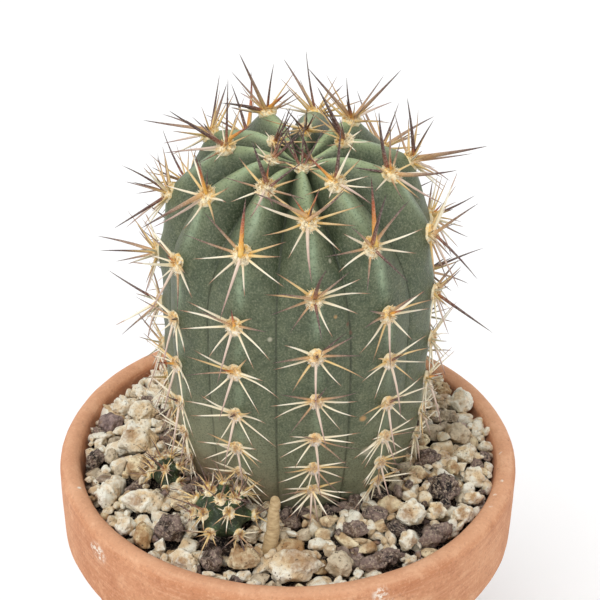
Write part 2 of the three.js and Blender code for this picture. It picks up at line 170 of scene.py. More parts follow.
def across_frame(direction):
    """Two directions square to a direction and to each other."""
    helper = np.array([0, 0, 1.0]) if abs(direction[2]) < 0.9 else np.array([1.0, 0, 0])
    side = unit(np.cross(direction, helper))
    return side, np.cross(direction, side)


def dome(rise, turn):
    """A direction that rises to a height, turned about +Z."""
    flat = math.sqrt(1 - rise * rise)
    return np.array([flat * math.cos(turn), flat * math.sin(turn), rise])


def circle(count, side=(1, 0), other=(0, 1)):
    """Evenly spaced points of the unit circle that two directions span."""
    turn = (np.arange(count) * 2 * np.pi / count)[:, None]
    return np.cos(turn) * side + np.sin(turn) * other


def bump_at(distance, width):
    """1 at a place, falling away like a bell."""
    return np.exp(-((distance / width) ** 2))


# ---- meshes ---------------------------------------------------------------------------------------


def ring_faces(rings, columns, closed=False):
    """Quads between rings of points. Closed also joins the last ring to the first."""
    ring = np.arange(rings if closed else rings - 1)[:, None]
    above = (ring + 1) % rings
    column = np.arange(columns)[None, :]
    beside = (column + 1) % columns
    low = ring * columns
    high = above * columns
    return np.stack([low + column, low + beside, high + beside, high + column], -1).reshape(-1, 4)


def fan_faces(first, columns, tip, flip=False):
    """Triangles between a ring and one point."""
    column = np.arange(columns)
    beside = (column + 1) % columns
    corners = (beside, column) if flip else (column, beside)
    return np.stack([first + corners[0], first + corners[1], np.full(columns, tip)], -1)


def tube_faces(rings, sides):
    """A closed tube's faces. Its rings of points are followed by its last tip and its first."""
    return [
        ring_faces(rings, sides),
        fan_faces((rings - 1) * sides, sides, rings * sides),
        fan_faces(0, sides, rings * sides + 1, flip=True),
    ]


class Shape:
    """The points, faces and named values of a piece that grows part by part."""

    def __init__(self):
        self.points = []
        self.faces = []
        self.values = {}
        self.count = 0

    def add(self, points, faces, **values):
        self.points.append(points)
        self.faces += [face_set + self.count for face_set in faces]
        for key, value in values.items():
            self.values.setdefault(key, []).append(np.broadcast_to(value, len(points)))
        self.count += len(points)

    def piece(self, name, look, slot, *nodes):
        """Makes the mesh, which rides on the root and stands for CAD nodes."""
        mesh = bpy.data.meshes.new(name)
        points = np.concatenate(self.points) * MM
        sizes = np.concatenate([np.full(len(faces), faces.shape[1]) for faces in self.faces])
        corners = np.concatenate([faces.ravel() for faces in self.faces])
        mesh.vertices.add(len(points))
        mesh.vertices.foreach_set("co", points.astype(np.float32).ravel())
        mesh.loops.add(len(corners))
        mesh.loops.foreach_set("vertex_index", corners.astype(np.int32))
        mesh.polygons.add(len(sizes))
        starts = np.concatenate([[0], np.cumsum(sizes)[:-1]])
        mesh.polygons.foreach_set("loop_start", starts.astype(np.int32))
        mesh.polygons.foreach_set("loop_total", sizes.astype(np.int32))
        mesh.polygons.foreach_set("use_smooth", np.ones(len(sizes), bool))
        mesh.update(calc_edges=True)
        mesh.validate()
        for key, parts in self.values.items():
            layer = mesh.attributes.new(key, "FLOAT", "POINT")
            layer.data.foreach_set("value", np.concatenate(parts).astype(np.float32))
        mesh.materials.append(look)
        made = bpy.data.objects.new(name, mesh)
        bpy.context.collection.objects.link(made)
        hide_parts(*nodes)
        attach(made, "root")
        return made


def finer_ball(corners, faces):
    """The triangles cut into four, with their new corners added to the ball's."""
    middles = {}

    def middle(i, j):
        key = (min(i, j), max(i, j))
        if key not in middles:
            middles[key] = len(corners)
            corners.append(unit(corners[i] + corners[j]))
        return middles[key]

    finer = []
    for i, j, k in faces:
        ij, jk, ki = middle(i, j), middle(j, k), middle(k, i)
        finer += [(i, ij, ki), (j, jk, ij), (k, ki, jk), (ij, jk, ki)]
    return finer


def ball_directions(level):
    """The corners and triangles of an evenly divided ball."""
    golden = (1 + math.sqrt(5)) / 2
    corners = []
    for a, b in product((-1, 1), (-golden, golden)):
        corners += [unit(np.array(corner, float)) for corner in ((0, a, b), (a, b, 0), (b, 0, a))]
    edge = min(np.linalg.norm(corners[0] - corner) for corner in corners[1:]) * 1.1
    faces = []
    for i, j, k in combinations(range(12), 3):
        a, b, c = corners[i], corners[j], corners[k]
        if max(np.linalg.norm(a - b), np.linalg.norm(b - c), np.linalg.norm(a - c)) < edge:
            outward = np.cross(b - a, c - a) @ a > 0
            faces.append((i, j, k) if outward else (i, k, j))
    for _ in range(level):
        faces = finer_ball(corners, faces)
    return np.array(corners), np.array(faces)


BALLS = {level: ball_directions(level) for level in (2, 3, 4)}


# ---- materials ------------------------------------------------------------------------------------

SPOT_CORE = 0.25


def colour(red, green, blue):
    """A picture colour from 0 to 255 as Blender's linear colour."""
    linear = []
    for channel in (red, green, blue):
        share = channel / 255
        linear.append(share / 12.92 if share <= 0.04045 else ((share + 0.055) / 1.055) ** 2.4)
    return (*linear, 1)


class Look:
    """A material's nodes, with a short call for each kind that the looks are made of."""

    def __init__(self, name, **settings):
        self.material = bpy.data.materials.new(name)
        self.material.use_nodes = True
        self.tree = self.material.node_tree
        self.shader = self.tree.nodes["Principled BSDF"]
        for socket, value in settings.items():
            self.shader.inputs[socket.replace("_", " ")].default_value = value
        self.place = self.node("ShaderNodeTexCoord").outputs["Object"]

    def node(self, kind, **settings):
        made = self.tree.nodes.new(kind)
        for key, value in settings.items():
            setattr(made, key, value)
        return made

    def join(self, value, socket):
        if isinstance(value, bpy.types.NodeSocket):
            self.tree.links.new(value, socket)
        else:
            socket.default_value = value

    def value(self, name):
        return self.node("ShaderNodeAttribute", attribute_name=name).outputs["Fac"]

    def stretched(self, x, y, z):
        made = self.node("ShaderNodeVectorMath", operation="MULTIPLY")
        self.join(self.place, made.inputs[0])
        made.inputs[1].default_value = (x, y, z)
        return made.outputs[0]

    def texture(self, made, size, seed, place=None):
        self.join(place or self.place, made.inputs["Vector"])
        made.inputs["W"].default_value = seed
        made.inputs["Scale"].default_value = 1 / (size * MM)

    def noise(self, size, detail=2.0, rough=0.5, seed=0.0, place=None):
        """Noise from 0 to 1 with lumps of a size in millimetres."""
        made = self.node("ShaderNodeTexNoise", noise_dimensions="4D")
        self.texture(made, size, seed, place)
        made.inputs["Detail"].default_value = detail
        made.inputs["Roughness"].default_value = rough
        return made.outputs["Fac"]

    def cells(self, size, seed):
        """Distance to the nearest of scattered points, 0 at a point."""
        made = self.node("ShaderNodeTexVoronoi", voronoi_dimensions="4D", feature="F1")
        self.texture(made, size, seed)
        return made.outputs["Distance"]

    def share(self, value, low, high, to_low=0.0, to_high=1.0):
        """A value's smooth rise between two limits."""
        made = self.node("ShaderNodeMapRange", interpolation_type="SMOOTHSTEP")
        for index, given in enumerate((value, low, high, to_low, to_high)):
            self.join(given, made.inputs[index])
        return made.outputs["Result"]

    def math(self, operation, a, b):
        made = self.node("ShaderNodeMath", operation=operation)
        self.join(a, made.inputs[0])
        self.join(b, made.inputs[1])
        return made.outputs[0]

    def times(self, a, b):
        return self.math("MULTIPLY", a, b)

    def plus(self, a, b):
        return self.math("ADD", a, b)

    def ramp(self, value, *stops):
        """Colours along a value: each stop is (position, colour)."""
        made = self.node("ShaderNodeValToRGB")
        self.join(value, made.inputs["Fac"])
        elements = made.color_ramp.elements
        for index, (position, tone) in enumerate(stops):
            element = elements[index] if index < 2 else elements.new(position)
            element.position = position
            element.color = colour(*tone)
        return made.outputs["Color"]

    def mix(self, share, tone, shade, mode="MIX"):
        """A colour, or another tone, laid over a tone."""
        made = self.node("ShaderNodeMix", data_type="RGBA", blend_type=mode)
        self.join(share, made.inputs["Factor"])
        self.join(tone, made.inputs[6])
        self.join(colour(*shade) if isinstance(shade, tuple) else shade, made.inputs[7])
        return made.outputs[2]

    def layers(self, tone, *rows):
        """Colours laid over a tone: (share, colour), or (value, its limits, the shares there, colour)."""
        for value, *spread, shade in rows:
            share = self.share(value, *spread[0], *spread[1]) if spread else value
            tone = self.mix(share, tone, shade)
        return tone

    def near(self, point, reach):
        """1 at a point given in millimetres, 0 beyond a reach from it."""
        made = self.node("ShaderNodeVectorMath", operation="DISTANCE")
        self.join(self.place, made.inputs[0])
        made.inputs[1].default_value = tuple(point * MM)
        return self.share(made.outputs["Value"], reach * MM, SPOT_CORE * reach * MM)

    def finish(self, tone, roughness=None, *bumps):
        """Joins colour, roughness and bumps, each (height, millimetres), to the shader."""
        self.join(tone, self.shader.inputs["Base Color"])
        if roughness is not None:
            self.join(roughness, self.shader.inputs["Roughness"])
        socket = self.shader.inputs["Normal"]
        for height, depth in reversed(bumps):
            made = self.node("ShaderNodeBump")
            made.inputs["Strength"].default_value = 1
            made.inputs["Distance"].default_value = depth * MM
            self.join(height, made.inputs["Height"])
            self.join(made.outputs["Normal"], socket)
            socket = made.inputs["Normal"]
        return self.material


# ---- stem shape, as the part's source gives it ----------------------------------------------------

GRAVEL_AT_WALL = 112
STEM_X = 2
STEM_Y = 0.5
RIBS = 11
FIRST_RIB_DEG = 7.7
BELLY_RADIUS = 36.1
BELLY_HEIGHT = 50
BASE_NARROWING = 5.3
NARROWING_POWER = 2.2
SHOULDER_HEIGHT = 58
STEM_HEIGHT = 95.5
DOME_POWER = 2.8
CROWN_SINK = 5
CROWN_SINK_RADIUS = 9
BURIED_TO = -4
ROOT_END = -22
AREOLE_START = -1.8
AREOLE_GROWTH = 22.6
AREOLE_CROWDING = 1.05
AREOLE_FIRST_ARC = 9
AREOLE_LAST_ARC = 113
AREOLES_AT_MOST = 12
RIB_PHASES = (0.5, 0.95, 0.25, 0.65, 0.05, 0.55, 0.1, 0.47, 0.97, 0.5, 0.03)

# Finer than the part's source: the crown leans to the front, ribs sway sideways on it, and the front
# areoles sit higher, most of all at the shoulder.
CROWN_TILT = 0.13
TILT_FROM = 45
TILT_FULL = 75
RIB_SWAY = (-4, -13, -2, 0, 0, 0, 0, 0, 0, 1, 0)
SWAY_ARC = 38
RAISE_AT_SHOULDER = 3.0
RAISE_ARC = 43
RAISE_SPREAD = 17
RAISE_BELOW_CROWN = 0.9
RAISE_FROM = 25
COLUMNS_PER_RIB = 28
RING_STEP = 0.62

# Furrows are deep and narrow on the crown, shallow and wide on the body.
CROWN_FURROW = 6.6
BODY_FURROW = 1.5
CROWN_FURROW_POWER = 2.5
BODY_FURROW_POWER = 1.7
FURROW_FULL_AT = 17
BODY_FROM = 22
BODY_BLEND = 36
CREASE_DEPTH = 0.5
CREASE_WIDTH = 0.07
CREASE_FULL_AT = 12

# The skin swells under each areole, and a pale band runs down from it along the crest: a painted highlight
# of the light on the rib.
SWELLING = 1.5
SWELLING_LENGTH = 5.2
SWELLING_WIDTH = 0.42
SWELLING_LOST_ON_BODY = 0.45
SWELLING_FULL_AT = 24
STRIP_LENGTH = 15
STRIP_WIDTH = 0.13
STRIP_ASIDE = 0.06
STRIP_LEAST = 0.35
STRIP_BEST_ARC = 30
STRIP_SPREAD = 26


def rib_outline():
    """The stem's outline over a rib from the crown down: arc length, radius, height, out of it."""
    turn = np.pi / 2 * (1 - np.linspace(0, 1, 240))
    radius = BELLY_RADIUS * np.maximum(np.cos(turn), 0) ** (2 / DOME_POWER)
    rise = (STEM_HEIGHT - SHOULDER_HEIGHT) * np.sin(turn) ** (2 / DOME_POWER)
    height = SHOULDER_HEIGHT + rise - CROWN_SINK * np.exp(-((radius / CROWN_SINK_RADIUS) ** 2))
    lower = np.arange(SHOULDER_HEIGHT - 0.5, BURIED_TO - 0.25, -0.5)
    below = np.maximum(0, (BELLY_HEIGHT - lower) / BELLY_HEIGHT)
    radius = np.concatenate([radius, BELLY_RADIUS - BASE_NARROWING * below**NARROWING_POWER])
    height = np.concatenate([height, lower])
    arc = np.concatenate([[0], np.cumsum(np.hypot(np.diff(radius), np.diff(height)))])
    slope = np.stack([-np.gradient(height, arc), np.gradient(radius, arc)])
    slope /= np.linalg.norm(slope, axis=0)
    return arc, radius, height, slope[0], slope[1]


RIB_LINE = rib_outline()
FULL_ARC = RIB_LINE[0][-1]


def line_at(arc):
    return [np.interp(arc, RIB_LINE[0], column) for column in RIB_LINE[1:]]


def leaned(points):
    """Points with the crown's lean."""
    height = points[..., 2] - GRAVEL_AT_WALL
    lean = CROWN_TILT * smooth((height - TILT_FROM) / (TILT_FULL - TILT_FROM))
    moved = points.copy()
    moved[..., 2] += lean * (points[..., 1] - STEM_Y)
    return moved


def skin(turn, arc, inward=0.0):
    """Places on the stem: a turn about its axis, an arc length from the crown, a depth under it."""
    radius, height, out_flat, out_up = line_at(arc)
    radius = radius - inward * out_flat
    x = STEM_X + radius * np.sin(turn)
    y = STEM_Y - radius * np.cos(turn)
    z = GRAVEL_AT_WALL + height - inward * out_up
    return leaned(np.stack(np.broadcast_arrays(x, y, z), -1))


def rib_turn(rib, arc):
    sway = RIB_SWAY[rib % RIBS] / (1 + (arc / SWAY_ARC) ** 3)
    return np.radians(FIRST_RIB_DEG + 360 / RIBS * rib + sway)


def areole_arcs(rib, first=AREOLE_FIRST_ARC):
    """Arc lengths of a rib's areoles, higher on the front where the crown's lean lowers them."""
    facing = max(0, math.cos(math.radians(FIRST_RIB_DEG + 360 / RIBS * rib)))
    arcs = []
    step = RIB_PHASES[rib]
    while step < AREOLES_AT_MOST:
        arc = AREOLE_START + AREOLE_GROWTH * step - AREOLE_CROWDING * step**2
        if arc > AREOLE_LAST_ARC or (arcs and arc <= arcs[-1]):
            break
        if arc >= first:
            arcs.append(arc)
        step += 1
    raised = []
    for arc in arcs:
        at_shoulder = RAISE_AT_SHOULDER * float(bump_at(arc - RAISE_ARC, RAISE_SPREAD))
        raised.append(arc - facing * (at_shoulder + RAISE_BELOW_CROWN * (arc > RAISE_FROM)))
    return raised


class Spot:
    """A place on a skin with its directions out, up to the crown, and across to the right."""

    def __init__(self, place, out, up, across):
        self.place = place
        self.out = out
        self.up = up
        self.across = across

    def toward(self, clock, tilt):
        """A direction: clock degrees from the crown side to the right, tilt degrees off the skin."""
        clock = math.radians(clock)
        tilt = math.radians(tilt)
        flat = math.cos(clock) * self.up + math.sin(clock) * self.across
        return math.cos(tilt) * flat + math.sin(tilt) * self.out


def rib_spot(rib, arc):
    turn = float(rib_turn(rib, arc))
    place = skin(turn, arc)
    up = unit(skin(turn, arc - 0.5) - skin(turn, arc + 0.5))
    across = unit(skin(turn + 0.01, arc) - skin(turn - 0.01, arc))
    out = unit(np.cross(across, up))
    if out @ (place - np.array([STEM_X, STEM_Y, place[2] - 20])) < 0:
        out = -out
    return Spot(place, out, up, across)


# ---- stem -----------------------------------------------------------------------------------------

OCHRE_SCAB = (186, 146, 96)
BROWN_SCAB = (112, 84, 66)
PALE_SCAB = (176, 172, 150)

# Small scars: (pixel u and v, reach in millimetres, colour).
SKIN_MARKS = (
    (364, 418, 1.3, OCHRE_SCAB),
    (347, 324, 0.9, BROWN_SCAB),
    (336, 316, 0.7, OCHRE_SCAB),
    (351, 333, 0.9, BROWN_SCAB),
    (270, 339, 0.9, PALE_SCAB),
    (366, 451, 2.2, PALE_SCAB),
    (330, 262, 0.8, PALE_SCAB),
)

# Which way the corky, pale side of the foot faces: to the left of the front.
CORK_TURN = math.radians(62)
CORK_FROM = 0.45
CORK_BLEND = 0.4

# Marks at the foot: cork, soil with painted contact shade, and bloom. Each is (the height they reach, how
# much of it they take to fade, their share on the right).
FOOT_MARKS = {"foot": (20, 18, 0.1), "soil": (9, 9, 0.6), "bloom": (52, 44, 0.5)}

# How far the crown's paleness and the painted shade darkening its furrows reach.
CROWN_SPREAD = 24
CROWN_IN_FURROW = 0.12
HOLLOW_SHARE = 0.9
HOLLOW_FULL_AT = 6


def stem_look():
    look = Look("cactus_skin", Roughness=0.5, Specular_IOR_Level=0.4)
    middle = look.noise(2.6, 4, 0.65, 3)
    fine = look.noise(0.5, 2, 0.7, 19)
    hollow = look.times(look.value("hollow"), look.share(middle, 0.2, 0.7, 1, 0.75))
    streaks = look.share(look.noise(2.2, 3, 0.6, 9), 0.3, 0.6, 0.45, 1)
    # Painted shade: a thin dark line along the bottom of each furrow.
    crease_shade = look.share(look.value("furrow"), 0.955, 0.99, 0, 0.6)
    patches = look.share(look.noise(4, 4, 0.65, 31), 0.25, 0.55, 0.35, 1)
    cork = look.times(look.value("foot"), patches)
    cork_tone = look.ramp(middle, (0.3, (124, 100, 76)), (0.7, (178, 156, 126)))
    tone = look.layers(
        look.ramp(look.noise(13, 3), (0.3, (70, 83, 61)), (0.7, (91, 99, 74))),
        (middle, (0.42, 0.72), (0, 0.5), (115, 120, 92)),
        (middle, (0.46, 0.28), (0, 0.45), (56, 66, 47)),
        (look.value("bloom"), (0, 1), (0, 0.62), (158, 158, 130)),
        (look.times(look.value("crown"), 0.95), (198, 218, 164)),
        # Painted shade: the crown's furrows darkened.
        (hollow, (54, 66, 47)),
        # Painted highlight: pale streaks along the rib crests below the areoles.
        (look.times(look.value("crest_highlight"), streaks), (158, 178, 146)),
        (fine, (0.5, 0.64), (0, 0.27), (160, 162, 136)),
        (fine, (0.47, 0.34), (0, 0.5), (42, 50, 35)),
        # Painted shade in the furrows' creases.
        (look.times(crease_shade, look.share(middle, 0.3, 0.62, 0.3, 1)), (42, 48, 36)),
        (cork, cork_tone),
        # Darker at the foot's last few millimetres: painted contact shade where the stem meets the stones,
        # in a brownish soil tone.
        (look.value("soil"), (0, 1), (0, 0.8), (62, 56, 42)),
    )
    for u, v, reach, scab in SKIN_MARKS:
        mark = look.near(seen_at(u, v, STEM_POINTS, STEM_PIXELS, STEM_HIDDEN), reach)
        tone = look.mix(look.times(mark, look.share(middle, 0.2, 0.6, 0.5, 1)), tone, scab)
    wrinkles = look.noise(2.4, 3, 0.6, 43, look.stretched(1, 1, 2.2))
    rough = look.share(middle, 0.2, 0.8, 0.4, 0.6)
    return look.finish(tone, rough, (fine, 0.14), (wrinkles, 0.16), (cork, 0.15))


# For each column of the skin: its rib, its share of the way to the next one, its distance from the
# nearest ridge (0 there, 1 in a furrow), and that with its side.
COLUMNS = RIBS * COLUMNS_PER_RIB
COLUMN_RIB = np.arange(COLUMNS) // COLUMNS_PER_RIB
COLUMN_SHARE = np.arange(COLUMNS) % COLUMNS_PER_RIB / COLUMNS_PER_RIB
OFF_RIDGE = 1 - np.abs(1 - 2 * COLUMN_SHARE)
RIDGE_SIDE = np.where(COLUMN_SHARE < 0.5, OFF_RIDGE, -OFF_RIDGE)
NEAREST_RIB = np.where(COLUMN_SHARE < 0.5, COLUMN_RIB, (COLUMN_RIB + 1) % RIBS)
STEM_AREOLES = [areole_arcs(rib, 2) for rib in range(RIBS)]


def areole_marks(arc):
    """How much the areoles swell a ring of the skin, and the painted highlights along the crest below them.
    """
    swelling = np.zeros(COLUMNS)
    crest_highlight = np.zeros(COLUMNS)
    for rib in range(RIBS):
        own = NEAREST_RIB == rib
        for spot in STEM_AREOLES[rib]:
            near = bump_at(arc - spot, SWELLING_LENGTH)
            swelling[own] += near * bump_at(OFF_RIDGE[own], SWELLING_WIDTH)
            below = (arc - spot) / STRIP_LENGTH
            if 0 < below < 1:
                strength = STRIP_LEAST + (1 - STRIP_LEAST) * bump_at(spot - STRIP_BEST_ARC, STRIP_SPREAD)
                fade = math.sin(math.pi * below**0.6) * strength
                crest_highlight[own] += fade * bump_at(RIDGE_SIDE[own] - STRIP_ASIDE, STRIP_WIDTH)
    return swelling, np.clip(crest_highlight, 0, 1)


def skin_ring(arc):
    """A ring's points, and the values that the skin's look uses."""
    ribs = [rib_turn(rib, arc) for rib in range(RIBS)]
    ribs = np.array([*ribs, ribs[0] + 2 * np.pi])
    turn = ribs[COLUMN_RIB] * (1 - COLUMN_SHARE) + ribs[COLUMN_RIB + 1] * COLUMN_SHARE
    body = float(smooth((arc - BODY_FROM) / BODY_BLEND))
    depth = (CROWN_FURROW + (BODY_FURROW - CROWN_FURROW) * body) * min(1, arc / FURROW_FULL_AT)
    power = CROWN_FURROW_POWER + (BODY_FURROW_POWER - CROWN_FURROW_POWER) * body
    crease = smooth((OFF_RIDGE - 1 + CREASE_WIDTH) / CREASE_WIDTH) * min(1, arc / CREASE_FULL_AT)
    swelling, crest_highlight = areole_marks(arc)
    bulge = SWELLING * (1 - SWELLING_LOST_ON_BODY * body) * swelling * min(1, arc / SWELLING_FULL_AT)
    points = skin(turn, arc, depth * OFF_RIDGE**power + CREASE_DEPTH * crease - bulge)
    height = line_at(arc)[1]
    left = smooth((np.cos(turn + CORK_TURN) - CORK_FROM) / CORK_BLEND)
    values = {
        "furrow": OFF_RIDGE,
        "crest_highlight": crest_highlight,
        "crown": bump_at(arc, CROWN_SPREAD) * (1 - (1 - CROWN_IN_FURROW) * smooth(OFF_RIDGE * 1.5)),
        # Painted shade in the crown's furrows, deepest in their middles.
        "hollow": HOLLOW_SHARE * OFF_RIDGE**2.1 * (1 - body) ** 1.6 * min(1, arc / HOLLOW_FULL_AT),
    }
    for key, (reached, fade, right) in FOOT_MARKS.items():
        values[key] = smooth((reached - height) / fade) * (right + (1 - right) * left)
    return points, values


def stem_rings():
    """The skin's points ring by ring from the foot up, and the values that its look uses."""
    rings = [skin_ring(arc) for arc in np.arange(0.5, FULL_ARC, RING_STEP)[::-1]]
    points = np.concatenate([ring for ring, _ in rings])
    values = {key: np.concatenate([row[key] for _, row in rings]) for key in rings[0][1]}
    out = points - np.array([STEM_X, STEM_Y, 0])
    out[:, 2] = 0
    away = np.linalg.norm(out, axis=1)
    out /= away[:, None] + 1e-9
    rough = 0.28 * noise(points, 7, 5, 2) + 0.05 * noise(points, 1.3, 8)
    points += out * (rough * smooth(away / 20))[:, None]
    return len(rings), points, values


STEM_RINGS, STEM_POINTS, STEM_VALUES = stem_rings()
STEM_PIXELS = pixels_of(STEM_POINTS)
STEM_MIDDLE = np.array([STEM_X, STEM_Y, 150])
STEM_HIDDEN = (STEM_POINTS - STEM_MIDDLE) @ (EYE - RIM_CENTRE) <= 0
ROOT_NARROWING = 0.58


def make_stem():
    """The skin, closed by the start of its root below and by the crown's middle above."""
    foot = STEM_POINTS[:COLUMNS]
    axis = np.array([STEM_X, STEM_Y])
    root_height = GRAVEL_AT_WALL + ROOT_END
    root = []
    for share in (1.0, 0.5):
        ring = foot.copy()
        ring[:, 2] += share * (root_height - foot[:, 2])
        ring[:, :2] = axis + (foot[:, :2] - axis) * (1 - ROOT_NARROWING * share)
        root.append(ring)
    bottom = np.array([STEM_X, STEM_Y, root_height])
    top = leaned(np.array([STEM_X, STEM_Y, GRAVEL_AT_WALL + line_at(0.0)[1]]))
    points = np.concatenate([*root, STEM_POINTS, [top, bottom]])
    values = {}
    for key, value in STEM_VALUES.items():
        values[key] = np.concatenate([np.tile(value[:COLUMNS], 2), value, [value[-1], value[0]]])
    shape = Shape()
    shape.add(points, tube_faces(STEM_RINGS + 2, COLUMNS), **values)
    shape.piece("stem_skin", stem_look(), "cactus_skin", "cactus_stem")


# ---- spines and felt ------------------------------------------------------------------------------

# Each style's colours from the base of a spine, 0, to its tip, 1.
SPINE_TONES = {
    "cream": ((0, (246, 210, 138)), (0.18, (254, 240, 204)), (0.68, (255, 248, 228)),
              (0.86, (176, 126, 92)), (1, (98, 62, 52))),
    "amber": ((0, (244, 204, 100)), (0.25, (236, 166, 60)), (0.55, (176, 86, 42)),
              (0.78, (98, 48, 44)), (1, (62, 36, 38))),
    "dark": ((0, (186, 130, 72)), (0.14, (132, 76, 54)), (0.35, (86, 52, 50)),
             (0.8, (70, 46, 50)), (1, (52, 36, 40))),
    "old": ((0, (232, 186, 116)), (0.14, (200, 158, 112)), (0.45, (154, 122, 100)),
            (0.75, (98, 72, 70)), (1, (60, 44, 48))),
    "grey": ((0, (238, 216, 186)), (0.25, (230, 208, 190)), (0.6, (200, 170, 156)),
             (0.85, (134, 96, 90)), (1, (84, 56, 56))),
    "gold": ((0, (236, 190, 98)), (0.3, (240, 210, 146)), (0.62, (214, 176, 124)),
             (0.85, (138, 96, 68)), (1, (86, 56, 48))),
}
FIRST_STYLE, *OTHER_STYLES = SPINE_TONES


def spine_look():
    look = Look("spine", Roughness=0.42)
    wander = look.share(look.noise(1.6, 2, 0.5, 5), 0.2, 0.8, -0.06, 0.06)
    along = look.plus(look.value("along"), wander)
    tone = look.ramp(along, *SPINE_TONES[FIRST_STYLE])
    for style in OTHER_STYLES:
        tone = look.mix(look.value(style), tone, look.ramp(along, *SPINE_TONES[style]))
    tone = look.mix(look.share(look.value("shade"), 0, 1, 0, 0.3), tone, (150, 112, 84), "MULTIPLY")
    streak = look.noise(0.35, 2, 0.5, 9)
    tone = look.mix(look.share(streak, 0.4, 0.75, 0, 0.3), tone, (240, 226, 200))
    return look.finish(tone, look.share(streak, 0.2, 0.8, 0.35, 0.55), (streak, 0.04))


def felt_look():
    look = Look("areole_felt", Roughness=0.95, Sheen_Weight=0.5, Sheen_Roughness=0.5)
    fluff = look.noise(0.4, 3, 0.65, 3)
    patches = look.share(look.noise(0.9, 2, 0.5, 7), 0.25, 0.75, -0.35, 0.6)
    core = look.plus(look.value("core"), patches)
    tone = look.layers(
        look.ramp(fluff, (0.22, (255, 216, 150)), (0.5, (255, 243, 204))),
        (look.value("pale"), look.ramp(fluff, (0.22, (250, 220, 202)), (0.5, (255, 252, 244)))),
        (core, (0.1, 0.85), (0, 0.95), look.ramp(fluff, (0.25, (232, 152, 56)), (0.52, (255, 212, 116)))),
        (look.value("heart"), (104, 54, 26)),
        (look.value("age"), (0, 1), (0, 0.22), (255, 232, 220)),
    )
    return look.finish(tone, None, (fluff, 0.1))


SPINE_SIDES = 6
SPINE_STOPS = np.array([0, 0.05, 0.2, 0.4, 0.6, 0.78, 0.92])
SPINE_TAPER = 0.93
SPINE_FOOT_FLARE = 1.2


def add_spine(shape, base, tip, radius, style, bend=0.0, shade=0.0, bend_turn=0.0):
    """A tapered, slightly curved needle."""
    along = tip - base
    length = np.linalg.norm(along)
    side, other = across_frame(along / length)
    aside = (math.cos(bend_turn) * side + math.sin(bend_turn) * other) * bend * length
    stops = SPINE_STOPS[:, None]
    centres = base + along * stops + aside * (4 * stops * (1 - stops))
    widths = radius * (1 - SPINE_TAPER * SPINE_STOPS**1.4)
    widths[0] *= SPINE_FOOT_FLARE
    rings = centres[:, None] + widths[:, None, None] * circle(SPINE_SIDES, side, other)
    points = np.concatenate([rings.reshape(-1, 3), [tip, base]])
    share = np.concatenate([np.repeat(SPINE_STOPS, SPINE_SIDES), [1, 0]])
    weights = {name: float(name == style) for name in OTHER_STYLES}
    shape.add(points, tube_faces(len(SPINE_STOPS), SPINE_SIDES), along=share, shade=shade, **weights)


def tip_on_ray(u, v, base, length, out):
    """Where a spine of a length ends so that its tip is seen in a pixel, leaning outwards."""
    ray = pixel_ray(u, v)
    nearest = EYE + ray * ((base - EYE) @ ray)
    spare = math.sqrt(max(length**2 - float(np.sum((nearest - base) ** 2)), 0))
    ends = [nearest + ray * spare, nearest - ray * spare]
    return max(ends, key=lambda end: float((end - base) @ out))


